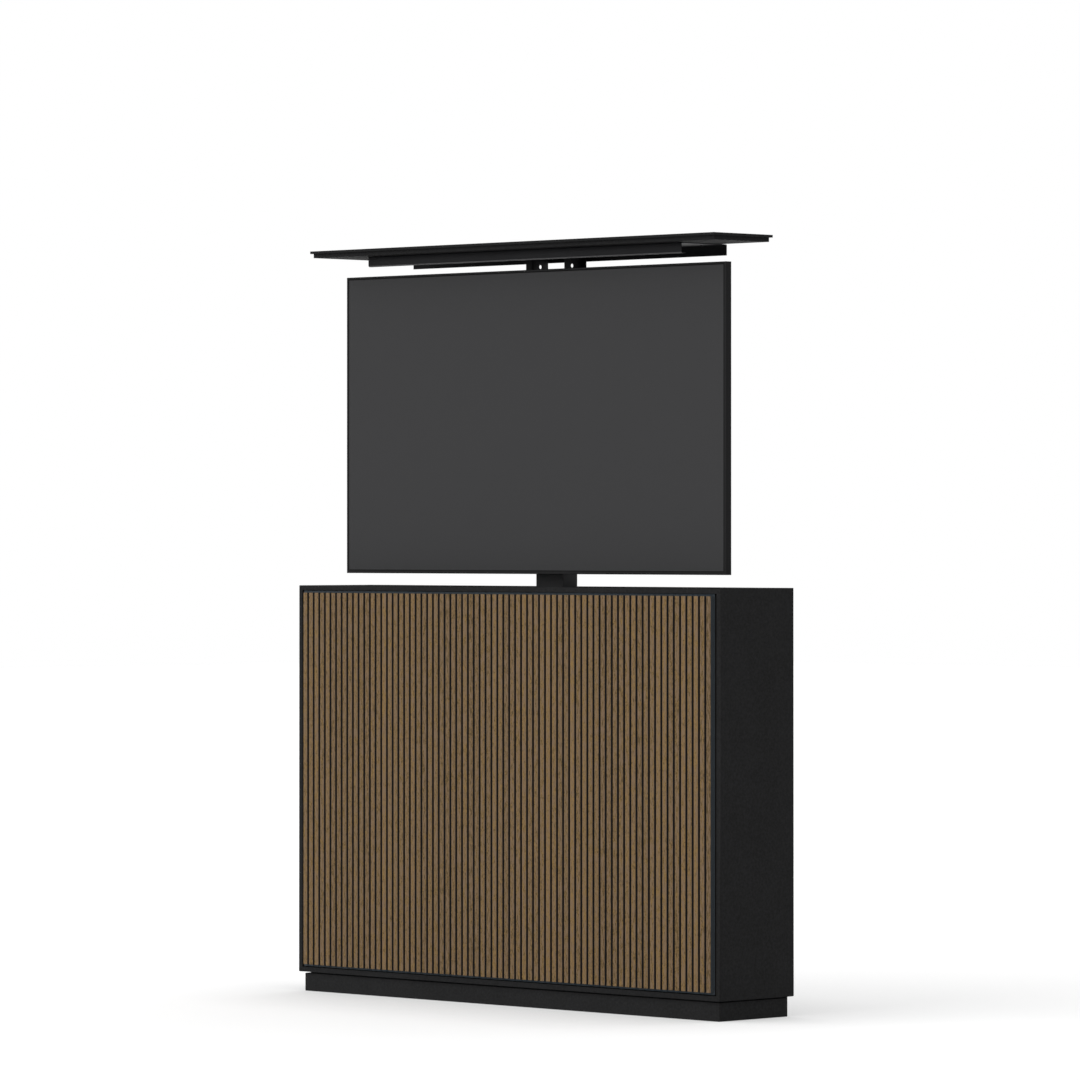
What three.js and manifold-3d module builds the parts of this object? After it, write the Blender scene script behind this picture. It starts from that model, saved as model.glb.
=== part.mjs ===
// A slim floor cabinet that hides a television. A telescopic column inside raises the television,
// with the lid above it, out of an opening in the cabinet's top. It is drawn fully raised.
// Millimetres, +Z up. The front faces -Y, and the origin is on the floor, below the middle.
import * as THREE from "three";
import { ConvexGeometry } from "three/addons/geometries/ConvexGeometry.js";
import { mergeVertices } from "three/addons/utils/BufferGeometryUtils.js";
import Module from "manifold-3d";

// Cabinet
const tvWidth = 1260;
const tvSideRoom = 70; // from the television's edge to the cabinet's outer side
const cabinetWidth = tvWidth + 2 * tvSideRoom;
const cabinetDepth = 243.5;
const carcassHeight = 930;
const boardThickness = 16;
const frontFaceWidth = 12; // what shows of a board's front edge, the rest is rebated away
const backThickness = 8;
const backInset = 3; // from the boards' rear edges to the back panel
const rearRebateWidth = 8;
const seatGap = 0.3; // between two pieces that touch
const cutOverrun = 5; // how far a cutting body passes the face that it opens

// Plinth
const plinthHeight = 46.5;
const plinthSideInset = 11.5;
const plinthFrontInset = 10;
const plinthBackInset = 9;
const plinthBracePlaceShare = 0.2; // each brace's distance from the middle, of the cabinet's width

// Slatted front panel
const panelSideMargin = 19.8;
const panelBottomMargin = 18.9;
const panelTopMargin = 16.5;
const slatPitchAim = 19.7; // the pitch is rounded from this, so that whole slats fill the panel
const slatGap = 5.8;
const slatThickness = 10;
const slatProud = 6.8; // how far the slats stand in front of the cabinet's frame
const slatEdge = 0.8;
const backingThickness = 9;
const cleatWidth = 18;
const topRailHeight = 60;

// Back panel
const ventSlotLength = 90;
const ventSlotHeight = 6;
const ventPitch = 16;
const ventRows = 6;
const ventPlaceShare = 0.3; // each group's distance from the middle, of the cabinet's width
const ventAboveFloor = 90; // lowest slot, above the bottom panel's underside
const grommetHoleRadius = 30;
const grommetBoreRadius = 25;
const grommetFlange = 6;
const grommetFlangeThickness = 2;
const grommetPlaceShare = 0.36; // of the cabinet's width, from the middle
const grommetHeight = 150; // above the bottom panel's underside

// Lid
const lidSideMargin = 28.35;
const lidFrontMargin = 10;
const lidBackMargin = 39.3;
const lidThickness = 16;
const lidPlateThickness = 6;
const lidRebate = 6;
const lidOpeningClearance = 1.4;

// Sheet steel channel below the lid
const channelHeight = 25.4;
const channelDepth = 150.5;
const channelLength = 1041;
const channelLip = 15;
const channelLipRise = 1.3; // how far the front flange stops short of the rear one's bottom
const channelSheet = 1.5;
const channelFoldRadius = 0.5; // inside radius of its two top folds, which are pressed sharp
const channelBehindUprights = 6.3; // how far it stands out behind the uprights

// Television
const tvHeight = 712;
const tvEdgeThickness = 19.1;
const tvBulgeThickness = 14.6;
const tvBulgeWidth = 980;
const tvBulgeTaper = 14;
const tvBulgeBottom = 24; // above the television's lower edge
const tvBulgeHeight = 590;
const tvRaisedGap = 29.5; // below the raised television, above the cabinet
const tvTopGap = 20.4; // between the television and the channel above it
const bezelLip = 6;
const bezelChin = 8;
const bezelWall = 2;
const bezelFace = 2;
const bezelChamfer = 0.8;
const screenRecess = 0.8;
const screenThickness = 2;
const displayThickness = 9.6;
const coverWall = 2.5;
const coverVentCount = 22;
const coverVentWidth = 5;
const coverVentHeight = 34;
const coverVentPitch = 14;
const coverVentBelowTop = 22;
const mountPitch = 400; // between the mounting bolts, across and up
const mountBoltRadius = 3;
const mountBoltHeadRadius = 5.5;
const mountBoltHeadHeight = 4;
const mountBoltReach = 12;
const mountBossRadius = 7;

// Television brackets
const uprightInnerFace = 51.4; // from the middle to each upright's web
const uprightFlange = 21.4;
const uprightDepth = 55.4;
const uprightSheet = 2.5;
const uprightBelowCrossbar = 79.3; // how far the uprights hang below the lower crossbar
const uprightLead = 0.3; // how far the uprights stand in front of the outer tube
const uprightHoleRadius = 5;
const uprightHolePitch = 50;
const uprightTopHole = 33.4; // below the upright's top
const armWidth = 30;
const armDepth = 11.7;
const armOverhang = 20; // of an arm, past its mounting bolts
const armSheet = 2.5;
const crossbarDepth = 11.4;
const crossbarHeight = 36;
const crossbarLength = 500;
const crossbarSheet = 2.5;
const crossbarSpacing = 160;
const headPlateHeight = 499; // of the inner tube's top, above the television's lower edge
const headSheet = 4;
const headFlange = 80;
const foldRadius = 2.5; // inside radius of the other folds in sheet steel

// Telescopic column
const columnBackGap = 24.3; // behind the outer tube, to the back panel
const middleTubeWidth = 90;
const middleTubeDepth = 48.4;
const middleTubeCorner = 2;
const smallestCorner = 0.5;
const tubeWall = 2.5;
const tubeGap = 2.5; // between two tubes, taken up by the plastic glides
const runningClearance = 0.4;
const outerOverlap = 130; // of the middle tube in the outer one when raised
const innerOverlap = 125; // of the inner tube in the middle one when raised
const collarRim = 8;
const collarSkirt = 40;
const footFlange = 6;
const footPlug = 14;
const stageClearance = 3; // under each stage when it is lowered

// Drive
const gearboxHeight = 40;
const gearboxBoreDepth = 18;
const motorRadius = 19;
const motorLength = 104;
const motorCapLength = 14;
const motorCapStep = 1.5;
const motorHoleClearance = 1.5;
const spindleRadius = 7;
const spindleKeyRadius = 7.7;
const spindleKeyLength = 16;
const spindleNutClearance = 0.25;
const hollowSpindleBore = 8.2;
const hollowSpindleRadius = 12;
const hollowFlangeRadius = 15;
const hollowFlangeThickness = 5;
const basePlateWidth = 220;
const basePlateDepth = 100;
const basePlateThickness = 8;
const basePlateCorner = 8;
const baseBoltSpacingX = 170;
const baseBoltSpacingY = 74;
const baseBoltRadius = 4;
const baseBoltHoleClearance = 0.4;
const baseBoltHeadRadius = 7.5;
const baseBoltHeadHeight = 5.3;
const baseBoltWasherRadius = 9;
const baseBoltWasherThickness = 1.6;
const baseBoltShort = 2; // of the bottom panel's underside
const bracketWidth = 170;
const bracketHatWidth = 82;
const bracketHeight = 60;
const bracketSheet = 2.5;
const bracketPlaceShares = [0.2, 0.82]; // of the outer tube's length, for the brackets' middles
const controlBoxWidth = 160;
const controlBoxDepth = 52;
const controlBoxHeight = 38;
const controlBoxCorner = 5;
const controlBoxBackGap = 8;
const controlBoxFromMiddle = 220;
const socketWidth = 14;
const socketHeight = 10;
const socketDepth = 8;
const socketPitch = 30;
const socketCount = 4;

// Steps of the curved outlines
const cornerSteps = 4;
const foldSteps = 3;
const roundSides = 24;
const smallRoundSides = 12;
const hexSides = 6;

// How far the lift is raised, of its stroke
const raisedShare = 1;

// Heights and depths that follow from the sizes above, from the floor and from the frame's front
const fullTurn = 2 * Math.PI;
const quarterTurn = fullTurn / 4;
const mitreGap = seatGap * Math.SQRT2;
const cabinetTop = plinthHeight + carcassHeight;
const floorTop = plinthHeight + boardThickness;
const ceiling = cabinetTop - boardThickness;
const innerSide = cabinetWidth / 2 - boardThickness;
const slatFrontY = -slatProud;
const slatRootY = slatFrontY + slatThickness;
const backingBackY = slatRootY + backingThickness;
const backOuterY = cabinetDepth - backInset;
const backInnerY = backOuterY - backThickness;
const lidLowTop = cabinetTop;
const lidLowBottom = lidLowTop - lidThickness;
const channelLowTop = lidLowBottom - seatGap;
const channelLowBottom = channelLowTop - channelHeight;
const tvLowTop = channelLowBottom - tvTopGap;
const tvLowBottom = tvLowTop - tvHeight;
const liftStroke = cabinetTop + tvRaisedGap - tvLowBottom;
const stageStroke = liftStroke / 2;

const outerGrowth = tubeGap + tubeWall; // from the middle tube's outside to the outer tube's
const outerTubeDepth = middleTubeDepth + 2 * outerGrowth;
const columnY = backInnerY - columnBackGap - outerTubeDepth / 2;
const basePlateBottom = floorTop + seatGap;
const basePlateTop = basePlateBottom + basePlateThickness;
const gearboxBottom = basePlateTop + seatGap;
const gearboxTop = gearboxBottom + gearboxHeight;
const middleFootBottom = gearboxTop + stageClearance;
const middleTubeBottom = middleFootBottom + footFlange + seatGap;
const middlePlugTop = middleTubeBottom + footPlug;
const hollowSpindleBottom = middlePlugTop + seatGap;
const innerFootBottom = hollowSpindleBottom + hollowFlangeThickness + stageClearance;
const innerTubeBottom = innerFootBottom + footFlange + seatGap;
const innerPlugTop = innerTubeBottom + footPlug;
const outerTubeTop = middleTubeBottom + stageStroke + outerOverlap;
const middleTubeTop = innerTubeBottom + stageStroke + innerOverlap;
const innerTubeTop = tvLowBottom + headPlateHeight;

const uprightFrontY = columnY - outerTubeDepth / 2 - uprightLead;
const uprightBackY = uprightFrontY + uprightDepth;
const crossbarBackY = uprightFrontY - seatGap;
const armBackY = crossbarBackY - crossbarDepth - seatGap;
const armFrontY = armBackY - armDepth;
const tvBackY = armFrontY - seatGap;
const tvEdgeBackY = tvBackY - tvBulgeThickness;
const tvFrontY = tvEdgeBackY - tvEdgeThickness;
const channelBackY = uprightBackY + channelBehindUprights;
const channelFrontY = channelBackY - channelDepth;

// Finishes
const blackLacquer = { color: 0x222224, roughness: 0.55, metalness: 0 };
const walnutSlats = { color: 0x6b543b, roughness: 0.6, metalness: 0 };
const rawBoard = { color: 0x3b3733, roughness: 0.8, metalness: 0 };
const blackSteel = { color: 0x26272a, roughness: 0.45, metalness: 0.6 };
const zincSteel = { color: 0x9a9c9e, roughness: 0.35, metalness: 1 };
const castAluminium = { color: 0x8c8e90, roughness: 0.5, metalness: 1 };
const glidePlastic = { color: 0x1b1b1c, roughness: 0.6, metalness: 0 };
const housingPlastic = { color: 0x1d1d1f, roughness: 0.5, metalness: 0 };
const screenGlass = { color: 0x414141, roughness: 0.3, metalness: 0 };

const wasm = await Module();
wasm.setup();

// The closed solid of a geometry, its equal corners joined.
function solidOf(geometry) {
  const bare = new THREE.BufferGeometry();
  bare.setAttribute("position", geometry.getAttribute("position"));
  bare.setIndex(geometry.index);
  const merged = mergeVertices(bare);
  const triVerts = new Uint32Array(merged.index.array);
  const vertProperties = merged.getAttribute("position").array;
  return new wasm.Manifold(new wasm.Mesh({ numProp: 3, vertProperties, triVerts }));
}

function geometryOf(solid) {
  const { vertProperties, triVerts } = solid.getMesh();
  const geometry = new THREE.BufferGeometry();
  geometry.setAttribute("position", new THREE.BufferAttribute(vertProperties, 3));
  geometry.setIndex(new THREE.BufferAttribute(triVerts, 1));
  geometry.computeVertexNormals();
  return geometry;
}

function cut(body, ...tools) {
  return geometryOf(tools.reduce((rest, tool) => rest.subtract(solidOf(tool)), solidOf(body)));
}

function join(...bodies) {
  return geometryOf(bodies.map(solidOf).reduce((whole, body) => whole.add(body)));
}

// A block between two opposite corners.
function block([x0, y0, z0], [x1, y1, z1]) {
  const box = new THREE.BoxGeometry(x1 - x0, y1 - y0, z1 - z0);
  return box.translate((x0 + x1) / 2, (y0 + y1) / 2, (z0 + z1) / 2);
}

// A prism along an axis. Its outline is drawn in the two axes that follow that one in turn:
// y and z along x, z and x along y, x and y along z.
const unitX = new THREE.Vector3(1, 0, 0);
const unitY = new THREE.Vector3(0, 1, 0);
const unitZ = new THREE.Vector3(0, 0, 1);
const prismFrames = {
  x: new THREE.Matrix4().makeBasis(unitY, unitZ, unitX),
  y: new THREE.Matrix4().makeBasis(unitZ, unitX, unitY),
  z: new THREE.Matrix4(),
};

function prism(axis, outline, from, to) {
  const shape = Array.isArray(outline) ? new THREE.Shape(outline) : outline;
  const options = { depth: to - from, bevelEnabled: false, curveSegments: cornerSteps };
  const geometry = new THREE.ExtrudeGeometry(shape, options).translate(0, 0, from);
  return geometry.applyMatrix4(prismFrames[axis]);
}

function point(a, b) {
  return new THREE.Vector2(a, b);
}

// A rectangle with round corners, centred on the origin.
function roundedRectangle(width, depth, corner) {
  const x = width / 2 - corner;
  const y = depth / 2 - corner;
  const shape = new THREE.Shape();
  shape.absarc(x, -y, corner, -quarterTurn, 0);
  shape.absarc(x, y, corner, 0, quarterTurn);
  shape.absarc(-x, y, corner, quarterTurn, 2 * quarterTurn);
  shape.absarc(-x, -y, corner, 2 * quarterTurn, 3 * quarterTurn);
  return shape;
}

// The middle tube's outline, grown by a distance on every side.
function tubeOutline(growth) {
  const corner = Math.max(middleTubeCorner + growth, smallestCorner);
  return roundedRectangle(middleTubeWidth + 2 * growth, middleTubeDepth + 2 * growth, corner);
}

// The space between two such outlines, as one upright ring.
function tubeRing(outerGrowthOfRing, innerGrowthOfRing, bottom, top) {
  const shape = tubeOutline(outerGrowthOfRing);
  shape.holes.push(tubeOutline(innerGrowthOfRing));
  return prism("z", shape, bottom, top);
}

// The section of a folded sheet whose middle line runs through the corners given. Each fold has
// the inside radius listed for its corner, or the usual one.
function foldedSheet(corners, sheet, insideRadii = []) {
  const left = [];
  const right = [];
  const origin = point(0, 0);
  corners.forEach((corner, index) => {
    const before = corners[index - 1];
    const after = corners[index + 1];
    const wayIn = before && corner.clone().sub(before).normalize();
    const wayOut = after && after.clone().sub(corner).normalize();
    if (!wayIn || !wayOut) {
      const across = (wayIn || wayOut).clone().rotateAround(origin, quarterTurn);
      left.push(corner.clone().addScaledVector(across, sheet / 2));
      right.push(corner.clone().addScaledVector(across, -sheet / 2));
      return;
    }
    const bend = (insideRadii[index] ?? foldRadius) + sheet / 2;
    const turn = Math.atan2(wayIn.cross(wayOut), wayIn.dot(wayOut));
    const side = Math.sign(turn);
    const setback = bend * Math.tan(Math.abs(turn) / 2);
    const toCentre = wayIn.clone().rotateAround(origin, side * quarterTurn);
    const centre = corner.clone().addScaledVector(wayIn, -setback).addScaledVector(toCentre, bend);
    for (let step = 0; step <= foldSteps; step += 1) {
      const out = toCentre.clone().negate().rotateAround(origin, (turn * step) / foldSteps);
      left.push(centre.clone().addScaledVector(out, bend - (side * sheet) / 2));
      right.push(centre.clone().addScaledVector(out, bend + (side * sheet) / 2));
    }
  });
  return [...left, ...right.reverse()];
}

// A round bar along an axis, whose middle is at the place given in the two axes that follow.
function bar(axis, radius, [a, b], from, to, sides = smallRoundSides) {
  const outline = Array.from({ length: sides }, (_, side) => {
    const angle = (fullTurn * side) / sides;
    return point(a + radius * Math.cos(angle), b + radius * Math.sin(angle));
  });
  return prism(axis, outline, from, to);
}

// A body turned about the z axis from a list of radius and height pairs.
function turned(profile, sides = roundSides) {
  const points = profile.map(([radius, height]) => point(radius, height));
  return new THREE.LatheGeometry(points, sides).rotateX(quarterTurn);
}

function addPiece(group, name, finish, geometry) {
  const piece = new THREE.Mesh(geometry, new THREE.MeshStandardMaterial(finish));
  piece.name = name;
  group.add(piece);
  return piece;
}

// A board with both ends mitred. Its outer face lies at z = 0, its inner face above that.
function mitredBoard(length, depth) {
  const half = length / 2;
  const outline = [
    point(0, -half),
    point(0, half),
    point(boardThickness, half - boardThickness),
    point(boardThickness, boardThickness - half),
  ];
  return prism("y", outline, 0, depth);
}

// A carcass board: rebated in front for the slatted panel, and behind for the back panel.
function carcassBoard(length) {
  const half = length / 2;
  const front = block(
    [-half, -cutOverrun, frontFaceWidth],
    [half, backingBackY + seatGap, boardThickness + cutOverrun],
  );
  const rear = block(
    [-half, backInnerY - seatGap, boardThickness - rearRebateWidth],
    [half, cabinetDepth + cutOverrun, boardThickness + cutOverrun],
  );
  return cut(mitredBoard(length, cabinetDepth), front, rear);
}

function baseBoltPlaces() {
  const x = baseBoltSpacingX / 2;
  const y = baseBoltSpacingY / 2;
  return [[-x, columnY - y], [x, columnY - y], [-x, columnY + y], [x, columnY + y]];
}

// The two steps of the lid, from its middle outwards and from front to back.
const lidPlate = {
  x: cabinetWidth / 2 - lidSideMargin,
  front: lidFrontMargin,
  back: cabinetDepth - lidBackMargin,
};
const lidBody = {
  x: lidPlate.x - lidRebate,
  front: lidPlate.front + lidRebate,
  back: lidPlate.back - lidRebate,
};

function makePlinth() {
  const plinth = new THREE.Group();
  const width = cabinetWidth - 2 * plinthSideInset;
  const depth = cabinetDepth - plinthFrontInset - plinthBackInset;
  plinth.position.y = plinthFrontInset + depth / 2;
  const height = plinthHeight - seatGap;
  const sides = [
    ["plinth_back", 0, width - 2 * mitreGap, depth / 2],
    ["plinth_left", 1, depth, width / 2],
    ["plinth_front", 2, width - 2 * mitreGap, depth / 2],
    ["plinth_right", 3, depth, width / 2],
  ];
  for (const [name, quarters, length, distance] of sides) {
    const side = new THREE.Group();
    side.rotation.z = quarters * quarterTurn;
    const board = addPiece(side, name, blackLacquer, mitredBoard(length, height));
    board.rotation.x = quarterTurn;
    board.position.y = distance;
    plinth.add(side);
  }
  const braceEnd = depth / 2 - boardThickness - seatGap;
  for (const [name, side] of [["plinth_brace_left", -1], ["plinth_brace_right", 1]]) {
    const brace = block([0, -braceEnd, 0], [boardThickness, braceEnd, height]);
    const piece = addPiece(plinth, name, rawBoard, brace);
    piece.position.x = side * plinthBracePlaceShare * cabinetWidth - boardThickness / 2;
  }
  return plinth;
}

function makeBottomPanel() {
  const holes = baseBoltPlaces().map(([x, y]) =>
    bar("z", baseBoltRadius + baseBoltHoleClearance, [x, y], -cutOverrun, boardThickness + cutOverrun),
  );
  return cut(carcassBoard(cabinetWidth - 2 * mitreGap), ...holes);
}

// The top has an opening for the lid. Its front and sides are stepped to take the lid's rebated
// edge, and behind the lid it leaves a slot, through which the channel's back flange passes.
function makeTopPanel() {
  const gap = lidOpeningClearance;
  const recess = block(
    [-lidPlate.x - gap, lidPlate.front - gap, -cutOverrun],
    [lidPlate.x + gap, channelBackY + gap, lidPlateThickness + seatGap],
  );
  const opening = block(
    [-lidBody.x - gap, lidBody.front - gap, -cutOverrun],
    [lidBody.x + gap, channelBackY + gap, boardThickness + cutOverrun],
  );
  return cut(carcassBoard(cabinetWidth - 2 * mitreGap), recess, opening);
}

function makeBackPanel() {
  const halfWidth = cabinetWidth / 2 - boardThickness + rearRebateWidth - seatGap;
  const bottom = floorTop - rearRebateWidth + seatGap;
  const top = ceiling + rearRebateWidth - seatGap;
  const panel = block([-halfWidth, backInnerY, bottom], [halfWidth, backOuterY, top]);
  const cuts = [
    bar(
      "y",
      grommetHoleRadius,
      [plinthHeight + grommetHeight, grommetPlaceShare * cabinetWidth],
      backInnerY - cutOverrun,
      backOuterY + cutOverrun,
      roundSides,
    ),
  ];
  for (const side of [-1, 1]) {
    const middle = side * ventPlaceShare * cabinetWidth;
    for (let row = 0; row < ventRows; row += 1) {
      const low = plinthHeight + ventAboveFloor + row * ventPitch;
      cuts.push(
        block(
          [middle - ventSlotLength / 2, backInnerY - cutOverrun, low],
          [middle + ventSlotLength / 2, backOuterY + cutOverrun, low + ventSlotHeight],
        ),
      );
    }
  }
  return cut(panel, ...cuts);
}

// A plastic ring that lines the cable hole, its flange on the back panel's outer face.
function makeGrommet() {
  const sleeve = grommetHoleRadius - seatGap;
  const flangeFace = backThickness + seatGap + grommetFlangeThickness;
  return turned([
    [grommetBoreRadius, 0],
    [sleeve, 0],
    [sleeve, backThickness + seatGap],
    [grommetHoleRadius + grommetFlange, backThickness + seatGap],
    [grommetHoleRadius + grommetFlange, flangeFace],
    [grommetBoreRadius, flangeFace],
    [grommetBoreRadius, 0],
  ]);
}

function makeCarcass() {
  const carcass = new THREE.Group();
  const bottom = addPiece(carcass, "bottom_panel", blackLacquer, makeBottomPanel());
  bottom.position.z = plinthHeight;
  const top = addPiece(carcass, "top_panel", blackLacquer, makeTopPanel());
  top.rotation.y = 2 * quarterTurn;
  top.position.z = cabinetTop;
  for (const [name, side] of [["side_panel_left", -1], ["side_panel_right", 1]]) {
    const panel = addPiece(carcass, name, blackLacquer, carcassBoard(carcassHeight));
    panel.rotation.y = -side * quarterTurn;
    panel.position.set((side * cabinetWidth) / 2, 0, plinthHeight + carcassHeight / 2);
  }
  addPiece(carcass, "back_panel", rawBoard, makeBackPanel());
  const grommet = addPiece(carcass, "cable_grommet", glidePlastic, makeGrommet());
  grommet.rotation.x = -quarterTurn;
  grommet.position.set(
    grommetPlaceShare * cabinetWidth,
    backInnerY,
    plinthHeight + grommetHeight,
  );
  return carcass;
}

// Upright slats glued side by side on a black backing board, drawn as one comb in plan.
function makeSlattedPanel() {
  const width = cabinetWidth - 2 * panelSideMargin;
  const slatCount = Math.round(width / slatPitchAim);
  const pitch = width / slatCount;
  const half = (pitch - slatGap) / 2;
  const outline = [point(width / 2, backingBackY), point(-width / 2, backingBackY)];
  outline.push(point(-width / 2, slatRootY));
  for (let slat = 0; slat < slatCount; slat += 1) {
    const middle = (slat + 1 / 2) * pitch - width / 2;
    outline.push(
      point(middle - half, slatRootY),
      point(middle - half, slatFrontY + slatEdge),
      point(middle - half + slatEdge, slatFrontY),
      point(middle + half - slatEdge, slatFrontY),
      point(middle + half, slatFrontY + slatEdge),
      point(middle + half, slatRootY),
    );
  }
  outline.push(point(width / 2, slatRootY));
  return prism("z", outline, plinthHeight + panelBottomMargin, cabinetTop - panelTopMargin);
}

function makeFront() {
  const front = new THREE.Group();
  addPiece(front, "slatted_front_panel", walnutSlats, makeSlattedPanel());
  const near = backingBackY + seatGap;
  const far = near + cleatWidth;
  const side = innerSide - seatGap;
  const low = floorTop + seatGap;
  const high = ceiling - seatGap;
  const railBottom = high - topRailHeight;
  const cleats = {
    front_rail_top: block([-side, near, railBottom], [side, far, high]),
    front_cleat_bottom: block([-side, near, low], [side, far, low + cleatWidth]),
    front_cleat_left: block(
      [-side, near, low + cleatWidth + seatGap],
      [-side + cleatWidth, far, railBottom - seatGap],
    ),
    front_cleat_right: block(
      [side - cleatWidth, near, low + cleatWidth + seatGap],
      [side, far, railBottom - seatGap],
    ),
  };
  for (const [name, geometry] of Object.entries(cleats)) {
    addPiece(front, name, rawBoard, geometry);
  }
  return front;
}

// A flanged hexagon bolt, its washer's underside at z = 0 and its shank below.
function makeBaseBolt() {
  const shank = basePlateThickness + seatGap + boardThickness - baseBoltShort;
  const headTop = baseBoltWasherThickness + baseBoltHeadHeight;
  return join(
    bar("z", baseBoltRadius, [0, 0], -shank, baseBoltWasherThickness),
    bar("z", baseBoltWasherRadius, [0, 0], 0, baseBoltWasherThickness, roundSides),
    bar("z", baseBoltHeadRadius, [0, 0], 0, headTop, hexSides),
  );
}

// The fixed foot of the lift, bolted to the bottom panel.
function makeBase() {
  const base = new THREE.Group();
  base.position.y = columnY;
  const outline = roundedRectangle(basePlateWidth, basePlateDepth, basePlateCorner);
  const plate = prism("z", outline, basePlateBottom, basePlateTop);
  const holes = baseBoltPlaces().map(([x, y]) => {
    const radius = baseBoltRadius + baseBoltHoleClearance;
    return bar("z", radius, [x, y - columnY], floorTop - cutOverrun, basePlateTop + cutOverrun);
  });
  addPiece(base, "column_base_plate", blackSteel, cut(plate, ...holes));
  baseBoltPlaces().forEach(([x, y], index) => {
    const bolt = addPiece(base, `base_bolt_${index + 1}`, zincSteel, makeBaseBolt());
    bolt.position.set(x, y - columnY, basePlateTop + seatGap);
  });
  return base;
}

// Geared motor: a cast housing inside the outer tube, and the motor that comes out at its side.
function makeDrive() {
  const drive = new THREE.Group();
  drive.position.y = columnY;
  const motorHeight = (gearboxBottom + gearboxTop) / 2;
  const casting = prism("z", tubeOutline(tubeGap - seatGap), gearboxBottom, gearboxTop);
  const bore = bar(
    "z",
    spindleRadius + runningClearance,
    [0, 0],
    gearboxTop - gearboxBoreDepth,
    gearboxTop + cutOverrun,
    roundSides,
  );
  addPiece(drive, "gearbox_housing", castAluminium, cut(casting, bore));
  const waist = motorLength - motorCapLength;
  const motor = turned([
    [0, 0],
    [motorRadius, 0],
    [motorRadius, waist],
    [motorRadius - motorCapStep, waist],
    [motorRadius - motorCapStep, motorLength - motorCapStep],
    [motorRadius - 2 * motorCapStep, motorLength],
    [0, motorLength],
  ]);
  const piece = addPiece(drive, "lift_motor", blackSteel, motor);
  piece.rotation.y = quarterTurn;
  piece.position.set(middleTubeWidth / 2 + tubeGap, 0, motorHeight);
  return drive;
}

function makeOuterColumn() {
  const column = new THREE.Group();
  column.position.y = columnY;
  const tube = tubeRing(outerGrowth, tubeGap, basePlateTop + seatGap, outerTubeTop);
  const motorHole = bar(
    "x",
    motorRadius + motorHoleClearance,
    [0, (gearboxBottom + gearboxTop) / 2],
    0,
    middleTubeWidth,
    roundSides,
  );
  addPiece(column, "outer_column", blackSteel, cut(tube, motorHole));
  addPiece(column, "outer_glide_collar", glidePlastic, makeCollar(outerGrowth, outerTubeTop));
  return column;
}

// A plastic collar on a tube's top end. Its skirt fills the gap to the tube that slides inside.
function makeCollar(tubeGrowth, tubeTop) {
  const tubeInside = tubeGrowth - tubeWall;
  const slidingFace = tubeInside - tubeGap + runningClearance;
  const rim = tubeRing(tubeGrowth, slidingFace, tubeTop + seatGap, tubeTop + seatGap + collarRim);
  const skirt = tubeRing(
    tubeInside - seatGap,
    slidingFace,
    tubeTop - collarSkirt,
    tubeTop + seatGap + collarRim,
  );
  return join(rim, skirt);
}

// A plastic foot under a tube. Its flange glides in the next tube, and its plug holds the nut.
function makeFoot(tubeGrowth, boreRadius, footBottom) {
  const flangeTop = footBottom + footFlange;
  const plugTop = flangeTop + seatGap + footPlug;
  const body = join(
    prism("z", tubeOutline(tubeGrowth + tubeGap - runningClearance), footBottom, flangeTop),
    prism("z", tubeOutline(tubeGrowth - tubeWall - seatGap), footBottom, plugTop),
  );
  const hole = bar(
    "z",
    boreRadius,
    [0, 0],
    footBottom - cutOverrun,
    plugTop + cutOverrun,
    roundSides,
  );
  return cut(body, hole);
}

// The spindle that the gearbox turns. Its keyed end drives the hollow spindle around it.
function makeDriveSpindle() {
  const bottom = gearboxTop - gearboxBoreDepth + seatGap;
  const keyBottom = middlePlugTop + stageStroke + stageClearance;
  const keyTop = keyBottom + spindleKeyLength;
  return turned([
    [0, bottom],
    [spindleRadius, bottom],
    [spindleRadius, keyBottom],
    [spindleKeyRadius, keyBottom],
    [spindleKeyRadius, keyTop],
    [0, keyTop],
  ]);
}

// The spindle that lifts the inner tube. Its flange turns on the middle tube's foot.
function makeHollowSpindle() {
  const bottom = hollowSpindleBottom;
  const top = innerPlugTop + stageStroke + stageClearance;
  return turned([
    [hollowSpindleBore, bottom],
    [hollowFlangeRadius, bottom],
    [hollowFlangeRadius, bottom + hollowFlangeThickness],
    [hollowSpindleRadius, bottom + hollowFlangeThickness],
    [hollowSpindleRadius, top],
    [hollowSpindleBore, top],
    [hollowSpindleBore, bottom],
  ]);
}

function makeDriveSpindles() {
  const spindles = new THREE.Group();
  spindles.position.y = columnY;
  addPiece(spindles, "drive_spindle", zincSteel, makeDriveSpindle());
  const hollow = addPiece(spindles, "hollow_spindle", zincSteel, makeHollowSpindle());
  hollow.position.z = stageStroke * raisedShare;
  return spindles;
}

function makeMiddleStage() {
  const stage = new THREE.Group();
  stage.position.set(0, columnY, stageStroke * raisedShare);
  const tube = tubeRing(0, -tubeWall, middleTubeBottom, middleTubeTop);
  addPiece(stage, "middle_column", blackSteel, tube);
  addPiece(stage, "middle_glide_collar", glidePlastic, makeCollar(0, middleTubeTop));
  const nutBore = spindleRadius + spindleNutClearance;
  addPiece(stage, "middle_foot_nut", glidePlastic, makeFoot(0, nutBore, middleFootBottom));
  return stage;
}

function makeInnerStage() {
  const stage = new THREE.Group();
  stage.position.y = columnY;
  const growth = -outerGrowth;
  const tube = tubeRing(growth, growth - tubeWall, innerTubeBottom, innerTubeTop);
  addPiece(stage, "inner_column", blackSteel, tube);
  const nutBore = hollowSpindleRadius + spindleNutClearance;
  addPiece(stage, "inner_foot_nut", glidePlastic, makeFoot(growth, nutBore, innerFootBottom));
  return stage;
}

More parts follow.
